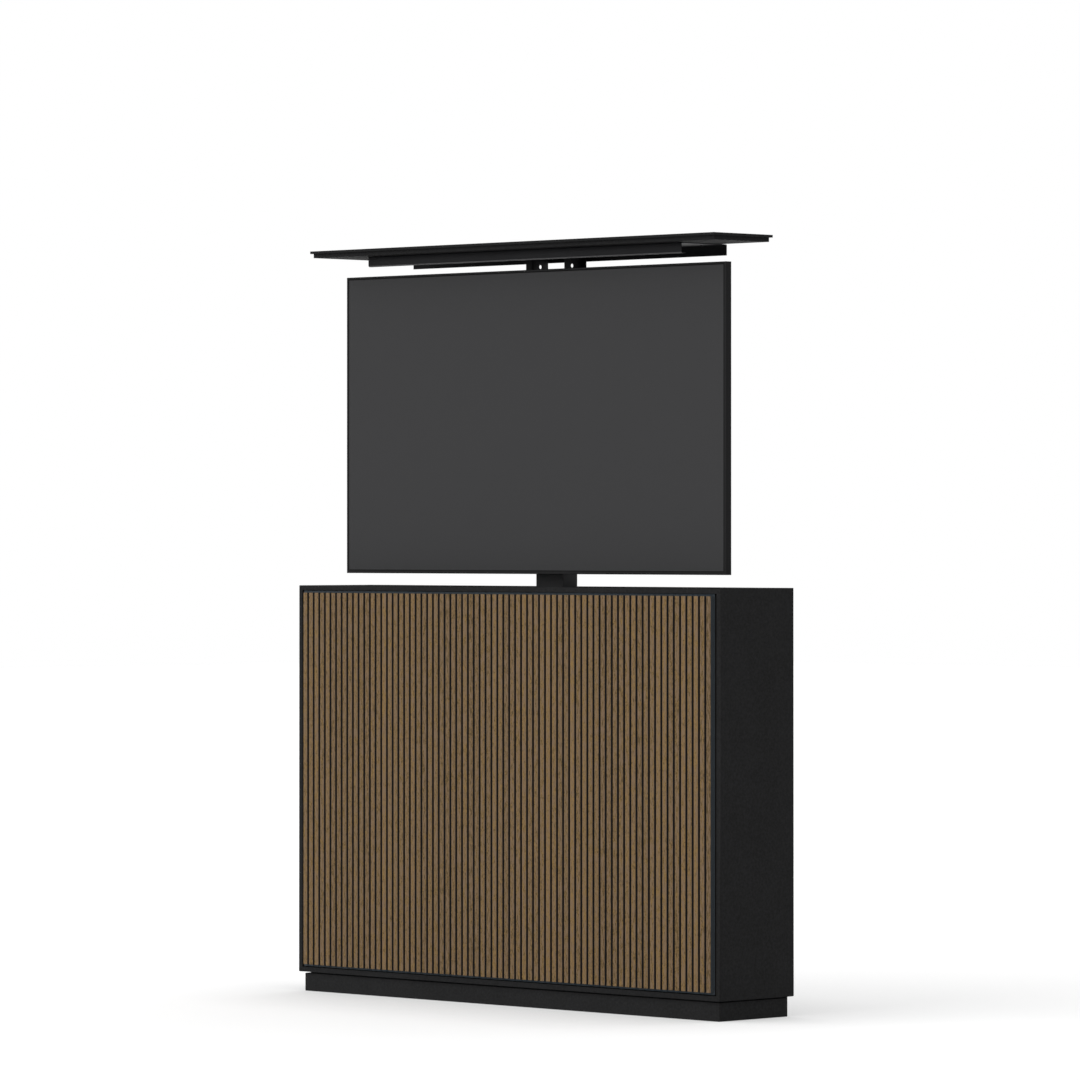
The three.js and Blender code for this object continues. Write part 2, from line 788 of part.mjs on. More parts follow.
// Hat-shaped brackets that tie the outer tube to the back panel.
function makeColumnBrackets() {
  const brackets = new THREE.Group();
  const feet = backInnerY - seatGap - bracketSheet / 2;
  const hat = backInnerY - columnBackGap + seatGap + bracketSheet / 2;
  const outline = foldedSheet(
    [
      point(-bracketWidth / 2, feet),
      point(-bracketHatWidth / 2, feet),
      point(-bracketHatWidth / 2, hat),
      point(bracketHatWidth / 2, hat),
      point(bracketHatWidth / 2, feet),
      point(bracketWidth / 2, feet),
    ],
    bracketSheet,
  );
  const tubeLength = outerTubeTop - basePlateTop;
  ["column_bracket_lower", "column_bracket_upper"].forEach((name, index) => {
    const geometry = prism("z", outline, -bracketHeight / 2, bracketHeight / 2);
    const bracket = addPiece(brackets, name, zincSteel, geometry);
    bracket.position.z = basePlateTop + bracketPlaceShares[index] * tubeLength;
  });
  return brackets;
}

// The control unit stands on the bottom panel, with a row of plug sockets in its front.
function makeControlBox() {
  const outline = roundedRectangle(controlBoxWidth, controlBoxDepth, controlBoxCorner);
  const housing = prism("z", outline, 0, controlBoxHeight);
  const front = -controlBoxDepth / 2;
  const sockets = Array.from({ length: socketCount }, (_, index) => {
    const middle = (index - (socketCount - 1) / 2) * socketPitch;
    return block(
      [middle - socketWidth / 2, front - cutOverrun, (controlBoxHeight - socketHeight) / 2],
      [middle + socketWidth / 2, front + socketDepth, (controlBoxHeight + socketHeight) / 2],
    );
  });
  return cut(housing, ...sockets);
}

function makeControls() {
  const controls = new THREE.Group();
  const box = addPiece(controls, "lift_control_box", housingPlastic, makeControlBox());
  box.position.set(
    -controlBoxFromMiddle,
    backInnerY - controlBoxBackGap - controlBoxDepth / 2,
    floorTop + seatGap,
  );
  return controls;
}

// Upright C sections beside the column, with a row of round holes in each web.
function makeUpright(side) {
  const web = side * (uprightInnerFace + uprightSheet / 2);
  const edge = side * (uprightInnerFace + uprightFlange);
  const front = uprightFrontY + uprightSheet / 2;
  const back = uprightBackY - uprightSheet / 2;
  const outline = foldedSheet(
    [point(edge, front), point(web, front), point(web, back), point(edge, back)],
    uprightSheet,
  );
  const top = channelLowTop - channelSheet - seatGap;
  const bottom = crossbarMiddles[0] - crossbarHeight / 2 - uprightBelowCrossbar;
  const holes = [];
  const holeY = (front + back) / 2;
  for (let z = top - uprightTopHole; z > bottom + uprightHolePitch / 2; z -= uprightHolePitch) {
    const ends = [web - cutOverrun, web + cutOverrun];
    holes.push(bar("x", uprightHoleRadius, [holeY, z], ...ends));
  }
  return cut(prism("z", outline, bottom, top), ...holes);
}

// A U-shaped bracket on the inner tube, between the two uprights.
function makeHeadBracket() {
  const plate = innerTubeTop + seatGap + headSheet / 2;
  const flange = uprightInnerFace - seatGap - headSheet / 2;
  const outline = foldedSheet(
    [
      point(plate + headFlange, flange),
      point(plate, flange),
      point(plate, -flange),
      point(plate + headFlange, -flange),
    ],
    headSheet,
  );
  const back = columnY + (middleTubeDepth / 2 - outerGrowth);
  const front = columnY - (middleTubeDepth / 2 - outerGrowth);
  return prism("y", outline, front, back);
}

// The four mounting places, from the television's middle and from its lower edge.
const mountMiddle = tvBulgeBottom + tvBulgeHeight / 2;
const mountPlaces = [
  [-mountPitch / 2, mountMiddle - mountPitch / 2],
  [mountPitch / 2, mountMiddle - mountPitch / 2],
  [-mountPitch / 2, mountMiddle + mountPitch / 2],
  [mountPitch / 2, mountMiddle + mountPitch / 2],
];
const crossbarMiddles = [
  tvLowBottom + mountMiddle - crossbarSpacing / 2,
  tvLowBottom + mountMiddle + crossbarSpacing / 2,
];

// Crossbars of C section on the uprights, open towards the television.
function makeCrossbar(middle) {
  const web = crossbarBackY - crossbarSheet / 2;
  const edge = crossbarBackY - crossbarDepth;
  const low = middle - crossbarHeight / 2 + crossbarSheet / 2;
  const high = middle + crossbarHeight / 2 - crossbarSheet / 2;
  const outline = foldedSheet(
    [point(edge, low), point(web, low), point(web, high), point(edge, high)],
    crossbarSheet,
  );
  return prism("x", outline, -crossbarLength / 2, crossbarLength / 2);
}

// Arms of C section, bolted to the television and resting on the crossbars.
function makeArm(side) {
  const web = armFrontY + armSheet / 2;
  const middle = (side * mountPitch) / 2;
  const left = middle - armWidth / 2 + armSheet / 2;
  const right = middle + armWidth / 2 - armSheet / 2;
  const outline = foldedSheet(
    [point(left, armBackY), point(left, web), point(right, web), point(right, armBackY)],
    armSheet,
  );
  const places = mountPlaces.filter(([x]) => Math.sign(x) === side);
  const heights = places.map(([, z]) => tvLowBottom + z);
  const bottom = Math.min(...heights) - armOverhang;
  const top = Math.max(...heights) + armOverhang;
  const radius = mountBoltRadius + runningClearance;
  const holes = heights.map((z) =>
    bar("y", radius, [z, middle], armFrontY - cutOverrun, armFrontY + cutOverrun),
  );
  return cut(prism("z", outline, bottom, top), ...holes);
}

function makeMountBolt() {
  const head = armSheet + seatGap;
  return join(
    bar("y", mountBoltRadius, [0, 0], head - mountBoltReach, head + mountBoltHeadHeight / 2),
    bar("y", mountBoltHeadRadius, [0, 0], head, head + mountBoltHeadHeight, hexSides),
  );
}

function makeBrackets() {
  const brackets = new THREE.Group();
  addPiece(brackets, "head_bracket", blackSteel, makeHeadBracket());
  addPiece(brackets, "upright_left", blackSteel, makeUpright(-1));
  addPiece(brackets, "upright_right", blackSteel, makeUpright(1));
  addPiece(brackets, "crossbar_lower", blackSteel, makeCrossbar(crossbarMiddles[0]));
  addPiece(brackets, "crossbar_upper", blackSteel, makeCrossbar(crossbarMiddles[1]));
  addPiece(brackets, "tv_arm_left", blackSteel, makeArm(-1));
  addPiece(brackets, "tv_arm_right", blackSteel, makeArm(1));
  mountPlaces.forEach(([x, z], index) => {
    const bolt = addPiece(brackets, `tv_mount_bolt_${index + 1}`, zincSteel, makeMountBolt());
    bolt.position.set(x, armFrontY, tvLowBottom + z);
  });
  return brackets;
}

// The lid and the folded channel that carries it on the uprights.
function makeLid() {
  const lid = new THREE.Group();
  const plate = block(
    [-lidPlate.x, lidPlate.front, lidLowTop - lidPlateThickness],
    [lidPlate.x, lidPlate.back, lidLowTop],
  );
  const body = block(
    [-lidBody.x, lidBody.front, lidLowBottom],
    [lidBody.x, lidBody.back, lidLowTop - lidPlateThickness / 2],
  );
  addPiece(lid, "lid_board", blackLacquer, join(plate, body));
  const half = channelSheet / 2;
  const lipMiddle = channelLowBottom + channelLipRise + half;
  const outline = foldedSheet(
    [
      point(channelFrontY + channelLip, lipMiddle),
      point(channelFrontY + half, lipMiddle),
      point(channelFrontY + half, channelLowTop - half),
      point(channelBackY - half, channelLowTop - half),
      point(channelBackY - half, channelLowBottom),
    ],
    channelSheet,
    [0, foldRadius, channelFoldRadius, channelFoldRadius],
  );
  const channel = prism("x", outline, -channelLength / 2, channelLength / 2);
  addPiece(lid, "lid_channel", blackSteel, channel);
  return lid;
}

// A rectangular frame with mitred corners. Each point of its section gives how far it lies in
// from the outer edge, how much further in it lies on the lower side, and its depth.
function mitredFrame(width, height, section) {
  const positions = [];
  const faces = [];
  for (const [inset, chin, y] of section) {
    const x = width / 2 - inset;
    const low = inset + chin;
    const high = height - inset;
    positions.push(-x, y, low, x, y, low, x, y, high, -x, y, high);
  }
  const cornerCount = 4;
  section.forEach((_, index) => {
    const next = (index + 1) % section.length;
    for (let corner = 0; corner < cornerCount; corner += 1) {
      const turnTo = (corner + 1) % cornerCount;
      const here = index * cornerCount;
      const there = next * cornerCount;
      faces.push(here + corner, there + turnTo, here + turnTo);
      faces.push(here + corner, there + corner, there + turnTo);
    }
  });
  const geometry = new THREE.BufferGeometry();
  geometry.setAttribute("position", new THREE.Float32BufferAttribute(positions, 3));
  geometry.setIndex(faces);
  geometry.computeVertexNormals();
  return geometry;
}

function makeBezel() {
  const chin = bezelChin - bezelLip;
  return mitredFrame(tvWidth, tvHeight, [
    [0, 0, tvEdgeThickness],
    [bezelWall, 0, tvEdgeThickness],
    [bezelWall, 0, bezelFace],
    [bezelLip, chin, bezelFace],
    [bezelLip, chin, 0],
    [bezelChamfer, 0, 0],
    [0, 0, bezelChamfer],
  ]);
}

// A block whose back face is smaller than its front one, all in the television's own frame.
function taperedBulge(inset) {
  const points = [];
  for (const [y, taper] of [[0, 0], [tvBulgeThickness, tvBulgeTaper]]) {
    const x = tvBulgeWidth / 2 - taper - inset;
    const low = tvBulgeBottom + taper + inset;
    const high = tvBulgeBottom + tvBulgeHeight - taper - inset;
    const depth = tvEdgeThickness + y - inset;
    points.push(new THREE.Vector3(-x, depth, low), new THREE.Vector3(x, depth, low));
    points.push(new THREE.Vector3(-x, depth, high), new THREE.Vector3(x, depth, high));
  }
  return new ConvexGeometry(points);
}

// The moulded rear cover: a thin tray with a raised housing, bosses for the mounting bolts and
// a row of air slots along the housing's top.
function makeRearCover() {
  const edge = bezelWall + seatGap;
  const x = tvWidth / 2 - edge;
  const trayFront = tvEdgeThickness - coverWall;
  const tray = block([-x, trayFront, edge], [x, tvEdgeThickness, tvHeight - edge]);
  const back = tvEdgeThickness + tvBulgeThickness;
  const bosses = mountPlaces.map(([mountX, mountZ]) =>
    bar("y", mountBossRadius, [mountZ, mountX], trayFront, back - coverWall / 2),
  );
  const boreRadius = mountBoltRadius + runningClearance;
  const bores = mountPlaces.map(([mountX, mountZ]) =>
    bar("y", boreRadius, [mountZ, mountX], trayFront - cutOverrun, back + cutOverrun),
  );
  const slots = Array.from({ length: coverVentCount }, (_, index) => {
    const slotX = (index - (coverVentCount - 1) / 2) * coverVentPitch;
    const top = tvBulgeBottom + tvBulgeHeight - tvBulgeTaper - coverVentBelowTop;
    return block(
      [slotX - coverVentWidth / 2, back - 2 * coverWall, top - coverVentHeight],
      [slotX + coverVentWidth / 2, back + cutOverrun, top],
    );
  });
  const shell = cut(join(tray, taperedBulge(0)), taperedBulge(coverWall));
  return cut(join(shell, ...bosses), ...bores, ...slots);
}

function makeTelevision() {
  const tv = new THREE.Group();
  tv.position.set(0, tvFrontY, tvLowBottom);
  addPiece(tv, "tv_bezel", housingPlastic, makeBezel());
  const glassX = tvWidth / 2 - bezelLip - seatGap;
  const glass = block(
    [-glassX, screenRecess, bezelChin + seatGap],
    [glassX, screenRecess + screenThickness, tvHeight - bezelLip - seatGap],
  );
  addPiece(tv, "tv_screen", screenGlass, glass);
  const inside = bezelWall + seatGap;
  const displayFront = screenRecess + screenThickness + seatGap;
  const display = block(
    [inside - tvWidth / 2, displayFront, inside],
    [tvWidth / 2 - inside, displayFront + displayThickness, tvHeight - inside],
  );
  addPiece(tv, "tv_display_module", housingPlastic, display);
  addPiece(tv, "tv_rear_cover", housingPlastic, makeRearCover());
  return tv;
}

// Everything that rises by the whole stroke.
function makeLiftHead() {
  const head = new THREE.Group();
  head.position.z = liftStroke * raisedShare;
  head.add(makeInnerStage(), makeBrackets(), makeLid(), makeTelevision());
  return head;
}

const cabinet = new THREE.Group();
cabinet.position.y = (slatProud - cabinetDepth) / 2;
cabinet.add(
  makePlinth(),
  makeCarcass(),
  makeFront(),
  makeBase(),
  makeDrive(),
  makeOuterColumn(),
  makeColumnBrackets(),
  makeControls(),
  makeDriveSpindles(),
  makeMiddleStage(),
  makeLiftHead(),
);

export default cabinet;
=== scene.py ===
# A slim slatted cabinet. A telescopic column inside it raises a television and the lid above it.
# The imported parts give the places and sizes. This script gives each its finish, cuts the slats,
# the threads and the screws, and lights them. Metres, +Z up, with the front towards -Y.
import math
import random

import bmesh
import bpy
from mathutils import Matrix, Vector


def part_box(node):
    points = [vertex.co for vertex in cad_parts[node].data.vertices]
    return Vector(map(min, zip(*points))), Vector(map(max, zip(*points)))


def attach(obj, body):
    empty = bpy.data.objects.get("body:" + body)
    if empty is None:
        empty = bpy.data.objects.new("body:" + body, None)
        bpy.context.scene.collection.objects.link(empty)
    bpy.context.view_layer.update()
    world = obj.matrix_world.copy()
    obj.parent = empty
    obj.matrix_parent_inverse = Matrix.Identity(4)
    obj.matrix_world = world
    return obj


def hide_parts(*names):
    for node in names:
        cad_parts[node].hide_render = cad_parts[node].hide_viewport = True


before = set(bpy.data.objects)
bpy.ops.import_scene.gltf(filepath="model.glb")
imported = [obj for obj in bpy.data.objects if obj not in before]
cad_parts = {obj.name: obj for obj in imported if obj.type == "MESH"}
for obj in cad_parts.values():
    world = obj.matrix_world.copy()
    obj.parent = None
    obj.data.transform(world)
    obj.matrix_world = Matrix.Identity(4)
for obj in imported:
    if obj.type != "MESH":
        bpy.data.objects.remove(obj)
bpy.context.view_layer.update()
mm = 0.001

# Carcass and lid: 16 mm board sprayed with black lacquer and rubbed down matt. The carcass is
# mitred and glued at the corners, and its long edges are rounded over before it is sprayed. The
# spray leaves a faint pebble, which breaks up the light on the wide flat faces. The lid is rubbed
# down once more, and is duller.
carcass_boards = ["side_panel_left", "side_panel_right", "bottom_panel", "top_panel"]
carcass_edge_radius = 1.6 * mm
lid_edge_radius = 0.5 * mm
smooth_below = math.radians(35)
square_from, square_to = math.radians(80), math.radians(100)  # the corners that are rounded over
shortest_rounded = 20 * mm
straight_slant = 1.001  # an edge's sizes along the axes, summed, over its length: 1 is square
hand_width = 90 * mm
pebble_contrast, pebble_offset, hand_share = 1.6, -0.55, 0.5
mixed = {"factor": 0, "first": 6, "second": 7, "result": 2}  # a colour Mix node's sockets


def linear(shade):
    """A hex sRGB colour as the linear colour that a node takes."""
    parts = [int(shade[i : i + 2], 16) / 255 for i in (1, 3, 5)]
    return [p / 12.92 if p <= 0.04045 else ((p + 0.055) / 1.055) ** 2.4 for p in parts] + [1]


def add_node(tree, kind, inputs=None, **settings):
    """Adds a node with its settings. Each input is a value, or the output that it comes from."""
    node = tree.nodes.new(kind)
    for name, value in settings.items():
        setattr(node, name, value)
    for socket, value in (inputs or {}).items():
        if isinstance(value, bpy.types.NodeSocket):
            tree.links.new(value, node.inputs[socket])
        else:
            node.inputs[socket].default_value = value
    return node


def pebbled_finish(name, dark, light, pebble, relief, roughness, **surface):
    """An even finish whose tone, gloss and height waver: over a fine pebble, and over a hand's
    width. It takes two close colours, the pebble's size and height, and two roughnesses."""
    finish = bpy.data.materials.new(name)
    finish.use_nodes = True
    tree = finish.node_tree
    tree.nodes.clear()
    place = add_node(tree, "ShaderNodeTexCoord").outputs["Object"]
    fine = add_node(
        tree,
        "ShaderNodeTexNoise",
        {"Vector": place, "Scale": 1 / pebble, "Detail": 3.0, "Roughness": 0.6},
    ).outputs["Fac"]
    wide = add_node(
        tree, "ShaderNodeTexNoise", {"Vector": place, "Scale": 1 / hand_width, "Detail": 2.0}
    ).outputs["Fac"]
    pebbled = add_node(
        tree,
        "ShaderNodeMath",
        {0: fine, 1: pebble_contrast, 2: pebble_offset},
        operation="MULTIPLY_ADD",
    ).outputs[0]
    tone = add_node(
        tree,
        "ShaderNodeMath",
        {0: wide, 1: hand_share, 2: pebbled},
        operation="MULTIPLY_ADD",
        use_clamp=True,
    ).outputs[0]
    colour = add_node(
        tree,
        "ShaderNodeMix",
        {mixed["factor"]: tone, mixed["first"]: linear(dark), mixed["second"]: linear(light)},
        data_type="RGBA",
    ).outputs[mixed["result"]]
    gloss = add_node(
        tree,
        "ShaderNodeMapRange",
        {
            "Value": wide,
            "From Min": 0.3,
            "From Max": 0.7,
            "To Min": roughness[0],
            "To Max": roughness[1],
        },
    ).outputs["Result"]
    bump = add_node(
        tree, "ShaderNodeBump", {"Height": fine, "Distance": relief, "Strength": 1.0}
    ).outputs["Normal"]
    shader = add_node(
        tree,
        "ShaderNodeBsdfPrincipled",
        {"Base Color": colour, "Roughness": gloss, "Normal": bump, **surface},
    )
    add_node(tree, "ShaderNodeOutputMaterial", {"Surface": shader.outputs["BSDF"]})
    return finish


def give_finish(names, finish, edge_radius=0, edges="ANGLE"):
    """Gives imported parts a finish, shades their rounds smooth and eases their sharp edges. With
    WEIGHT for edges, only the long square ones are eased, and mitres stay closed."""
    for name in names:
        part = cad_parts[name]
        for slot in part.material_slots:
            slot.material = finish
        shading = part.modifiers.new("smooth_rounds", "NODES")
        shading.node_group = smooth_rounds
        if edge_radius:
            easing = part.modifiers.new("eased_edges", "BEVEL")
            easing.width = edge_radius
            easing.segments = 3
            easing.limit_method = edges
            easing.angle_limit = smooth_below
            easing.harden_normals = True


smooth_rounds = bpy.data.node_groups.new("smooth_rounds", "GeometryNodeTree")
smooth_rounds.interface.new_socket("Geometry", in_out="INPUT", socket_type="NodeSocketGeometry")
smooth_rounds.interface.new_socket("Geometry", in_out="OUTPUT", socket_type="NodeSocketGeometry")
joined = add_node(
    smooth_rounds,
    "GeometryNodeMergeByDistance",
    {"Geometry": add_node(smooth_rounds, "NodeGroupInput").outputs[0], "Distance": 0.002 * mm},
).outputs[0]
edge_angle = add_node(smooth_rounds, "GeometryNodeInputMeshEdgeAngle").outputs[0]
creases = add_node(
    smooth_rounds,
    "FunctionNodeCompare",
    {"A": edge_angle, "B": smooth_below},
    data_type="FLOAT",
    operation="GREATER_THAN",
).outputs[0]
edge_ends = add_node(smooth_rounds, "GeometryNodeInputMeshEdgeVertices").outputs
run = add_node(
    smooth_rounds,
    "ShaderNodeVectorMath",
    {0: edge_ends["Position 2"], 1: edge_ends["Position 1"]},
    operation="SUBTRACT",
).outputs[0]
run_length = add_node(
    smooth_rounds, "ShaderNodeVectorMath", {0: run}, operation="LENGTH"
).outputs["Value"]
run_sizes = add_node(
    smooth_rounds, "ShaderNodeVectorMath", {0: run}, operation="ABSOLUTE"
).outputs[0]
run_sum = add_node(
    smooth_rounds, "ShaderNodeVectorMath", {0: run_sizes, 1: (1, 1, 1)}, operation="DOT_PRODUCT"
).outputs["Value"]
slant = add_node(
    smooth_rounds, "ShaderNodeMath", {0: run_sum, 1: run_length}, operation="DIVIDE"
).outputs[0]
rounded_over = 1.0
for value, operation, against in [
    (edge_angle, "GREATER_THAN", square_from),
    (edge_angle, "LESS_THAN", square_to),
    (run_length, "GREATER_THAN", shortest_rounded),
    (slant, "LESS_THAN", straight_slant),
]:
    passed = add_node(
        smooth_rounds,
        "FunctionNodeCompare",
        {"A": value, "B": against},
        data_type="FLOAT",
        operation=operation,
    ).outputs[0]
    rounded_over = add_node(
        smooth_rounds, "ShaderNodeMath", {0: passed, 1: rounded_over}, operation="MULTIPLY"
    ).outputs[0]
weighted = add_node(
    smooth_rounds,
    "GeometryNodeStoreNamedAttribute",
    {"Geometry": joined, "Name": "bevel_weight_edge", "Value": rounded_over},
    data_type="FLOAT",
    domain="EDGE",
).outputs[0]
shaded = add_node(
    smooth_rounds,
    "GeometryNodeSetMeshNormal",
    {"Mesh": weighted, "Remove Custom": True, "Edge Sharpness": creases, "Face Sharpness": False},
).outputs[0]
add_node(smooth_rounds, "NodeGroupOutput", {0: shaded})


def lacquer(name, dark, light, roughness):
    return pebbled_finish(
        name,
        dark,
        light,
        pebble=6 * mm,
        relief=0.03 * mm,
        roughness=roughness,
        **{"Specular IOR Level": 0.06},
    )


black_lacquer = lacquer("black_lacquer", "#0e0e0e", "#222223", roughness=(0.56, 0.6))
give_finish(carcass_boards, black_lacquer, carcass_edge_radius, "WEIGHT")
lid_lacquer = lacquer("lid_lacquer", "#0e0e0e", "#222223", roughness=(0.7, 0.74))
give_finish(["lid_board"], lid_lacquer, lid_edge_radius)

# Hidden boards: black fibreboard, dyed right through and left bare. Cleats and a top rail carry
# the slatted panel, braces stiffen the plinth, and a thin sheet with air slots closes the back.
bare_boards = [
    "front_rail_top",
    "front_cleat_bottom",
    "front_cleat_left",
    "front_cleat_right",
    "plinth_brace_left",
    "plinth_brace_right",
]
black_fibreboard = pebbled_finish(
    "black_fibreboard",
    "#1b1a19",
    "#262423",
    pebble=1.2 * mm,
    relief=0.03 * mm,
    roughness=(0.7, 0.85),
    **{"Specular IOR Level": 0.2},
)
give_finish(bare_boards, black_fibreboard, 0.3 * mm)
give_finish(["back_panel"], black_fibreboard)


def make_piece(name, body, mesh, finishes, replaces=()):
    """Turns a finished bmesh into a piece that rides on a body."""
    for edge in mesh.edges:
        edge.smooth = edge.calc_face_angle(0) < smooth_below
    for face in mesh.faces:
        face.smooth = True
    data = bpy.data.meshes.new(name)
    mesh.to_mesh(data)
    mesh.free()
    for finish in finishes:
        data.materials.append(finish)
    piece = bpy.data.objects.new(name, data)
    bpy.context.scene.collection.objects.link(piece)
    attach(piece, body)
    if replaces:
        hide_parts(*replaces)


def add_prism(mesh, outline, low, high):
    """Adds an upright prism to a bmesh. Its outline runs anticlockwise, seen from above."""
    bottom = [mesh.verts.new((x, y, low)) for x, y in outline]
    top = [mesh.verts.new((x, y, high)) for x, y in outline]
    count = len(outline)
    sides = [
        mesh.faces.new((bottom[i], bottom[(i + 1) % count], top[(i + 1) % count], top[i]))
        for i in range(count)
    ]
    ends = [mesh.faces.new(bottom[::-1]), mesh.faces.new(top)]
    return bottom + top, sides, ends


def add_ring(mesh, points):
    """Adds the points of one ring to a bmesh, to be joined by faces later."""
    return [mesh.verts.new(point) for point in points]


def bridge(mesh, near, far):
    """Joins two rings of as many points with a band of faces."""
    count = len(near)
    for i in range(count):
        mesh.faces.new((near[i], near[(i + 1) % count], far[(i + 1) % count], far[i]))


# Plinth: four mitred boards in the same lacquer, painted a shade lighter as painted light, which
# makes up for the shade that the plinth stands in under the carcass. The front and side boards have
# a rebate along the top of the outside, which draws a dark line and hides how even the joint is.
# The rear board is plain, and closes the side boards' rebates at the back.
# Painted light: a lighter copy of the black lacquer, against the shade low down under the carcass.
plinth_lit_lacquer = lacquer("plinth_lit_lacquer", "#101010", "#262627", roughness=(0.56, 0.6))
plinth_rebate_height = 3.2 * mm
plinth_rebate_depth = 9 * mm
plinth_board = 16 * mm
plinth_edge = 0.8 * mm
mitre_gap = 0.1 * mm
plinth_front_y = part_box("plinth_front")[0].y
plinth_back_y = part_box("plinth_back")[1].y
plinth_side_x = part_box("plinth_right")[1].x
plinth_low_z, plinth_high_z = [corner.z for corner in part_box("plinth_front")]
shoulder = plinth_high_z - plinth_rebate_height
plinth_profile = [
    (plinth_edge, plinth_low_z),
    (0, plinth_low_z + plinth_edge),
    (0, shoulder - plinth_edge),
    (plinth_edge, shoulder),
    (plinth_rebate_depth, shoulder),
    (plinth_rebate_depth, plinth_high_z),
    (plinth_board, plinth_high_z),
    (plinth_board, plinth_low_z),
]
rear_side = 2
rear_profile = [
    (plinth_edge, plinth_low_z),
    (0, plinth_low_z + plinth_edge),
    (0, plinth_high_z),
    (plinth_board, plinth_high_z),
    (plinth_board, plinth_low_z),
]
plinth = bmesh.new()
for side in range(4):
    ends = []
    for corner in (side, side + 1):
        across = 1 if corner % 4 in (1, 2) else -1
        along = 1 if corner % 4 in (2, 3) else -1
        slip = mitre_gap if corner == side else -mitre_gap
        slip_x, slip_y = [(slip, 0), (0, slip), (-slip, 0), (0, -slip)][side]
        ends.append(
            add_ring(
                plinth,
                [
                    (
                        across * (plinth_side_x - inset) + slip_x,
                        (plinth_back_y - inset if along > 0 else plinth_front_y + inset) + slip_y,
                        height,
                    )
                    for inset, height in (rear_profile if side == rear_side else plinth_profile)
                ],
            )
        )
    bridge(plinth, *ends)
    plinth.faces.new(ends[0][::-1])
    plinth.faces.new(ends[1])
bmesh.ops.recalc_face_normals(plinth, faces=plinth.faces)
make_piece(
    "plinth_boards",
    "cabinet",
    plinth,
    [plinth_lit_lacquer],
    replaces=["plinth_front", "plinth_back", "plinth_left", "plinth_right"],
)

# Slatted front: upright strips of black fibreboard, each faced with walnut veneer and glued on a
# board that is covered with dark blue-grey felt on its front. The felt also lines the end strips'
# outer sides. The board's edges take the slats' black core: painted shade, for the shade in the
# gap beside the frame. Each strip comes from another part of the log, so that its tone and figure
# differ.
slat_count = 69
slat_gap = 5.8 * mm
slat_thickness = 10 * mm
slat_edge = 0.8 * mm
slat_edge_steps = 3
veneered = -0.8  # the faces that point this far to the front; the eased edges show the core
slat_drop = 1.1 * mm  # of the strips' tops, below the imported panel's
felt_edge = 0.6 * mm
frame_face = 12 * mm
backing_gap_low = 1.8 * mm  # under the backing, where the frame shows a dark line
backing_gap_high = 0.3 * mm
backing_overhang = 5.5 * mm  # past the first strip
tone_spread = 0.42
tone_offset = 2.88  # brings the mean of the wood's patterns back to the middle tone
pore_darkness = 0.35
log_step = (3.1, 7.3, 17.9)  # how far into the log a strip can be cut, in metres
panel_low, panel_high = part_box("slatted_front_panel")
backing_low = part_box("bottom_panel")[0].z + frame_face + backing_gap_low
backing_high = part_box("top_panel")[1].z - frame_face - backing_gap_high
backing_left = panel_low.x - backing_overhang
slat_pitch = (panel_high.x - panel_low.x) / slat_count
half_slat = (slat_pitch - slat_gap) / 2
slat_back = panel_low.y + slat_thickness

dark_felt = pebbled_finish(
    "dark_felt",
    "#20272d",
    "#363f46",
    pebble=1.5 * mm,
    relief=0.25 * mm,
    roughness=(0.9, 1.0),
    **{"Specular IOR Level": 0.1, "Sheen Weight": 0.15, "Sheen Roughness": 0.6},
)
slat_core = pebbled_finish(
    "slat_core",
    "#0c0b0a",
    "#131110",
    pebble=1.2 * mm,
    relief=0.03 * mm,
    roughness=(0.75, 0.9),
    **{"Specular IOR Level": 0.12},
)

walnut_veneer = bpy.data.materials.new("walnut_veneer")
walnut_veneer.use_nodes = True
wood = walnut_veneer.node_tree
wood.nodes.clear()
slat_cut = add_node(wood, "ShaderNodeAttribute", attribute_name="slat_cut").outputs["Fac"]
slat_tone = add_node(wood, "ShaderNodeAttribute", attribute_name="slat_tone").outputs["Fac"]
log_place = add_node(
    wood, "ShaderNodeCombineXYZ", {"X": slat_cut, "Y": slat_cut, "Z": slat_cut}
).outputs[0]
from_log = add_node(
    wood,
    "ShaderNodeVectorMath",
    {0: log_place, 1: log_step, 2: add_node(wood, "ShaderNodeTexCoord").outputs["Object"]},
    operation="MULTIPLY_ADD",
).outputs[0]
# Growth lines are 2 to 3 mm apart and run up the slat. Fibre flecks are drawn 2 mm by 6 mm and
# pores 0.8 mm wide, two and four times too wide, so that they show. Greyer flames, 3 mm by 20 mm,
# lie among the brown.
wood_patterns = {}
for pattern, width, stretch, detail in [
    ("growth", 2.6 * mm, 26, 3.0),
    ("fleck", 2.2 * mm, 2.6, 2.0),
    ("pore", 0.8 * mm, 11, 1.0),
    ("figure", 34 * mm, 5, 2.0),
    ("streak", 2.8 * mm, 7, 2.0),
]:
    drawn_out = add_node(
        wood,
        "ShaderNodeVectorMath",
        {0: from_log, 1: (1.0, 1.0, 1 / stretch)},
        operation="MULTIPLY",
    ).outputs[0]
    wood_patterns[pattern] = add_node(
        wood,
        "ShaderNodeTexNoise",
        {"Vector": drawn_out, "Scale": 1 / width, "Detail": detail, "Distortion": 0.4},
    ).outputs["Fac"]
pores = add_node(
    wood,
    "ShaderNodeMapRange",
    {"Value": wood_patterns["pore"], "From Min": 0.6, "From Max": 0.72},
).outputs["Result"]
shade = slat_tone
for pattern, share in [("growth", 0.55), ("fleck", 4.9), ("figure", 0.35)]:
    shade = add_node(
        wood,
        "ShaderNodeMath",
        {0: wood_patterns[pattern], 1: share, 2: shade},
        operation="MULTIPLY_ADD",
    ).outputs[0]
shade = add_node(
    wood, "ShaderNodeMath", {0: shade, 1: tone_offset}, operation="SUBTRACT", use_clamp=True
).outputs[0]
heartwood = add_node(
    wood,
    "ShaderNodeMix",
    {mixed["factor"]: shade, mixed["first"]: linear("#4d3c20"), mixed["second"]: linear("#80653a")},
    data_type="RGBA",
).outputs[mixed["result"]]
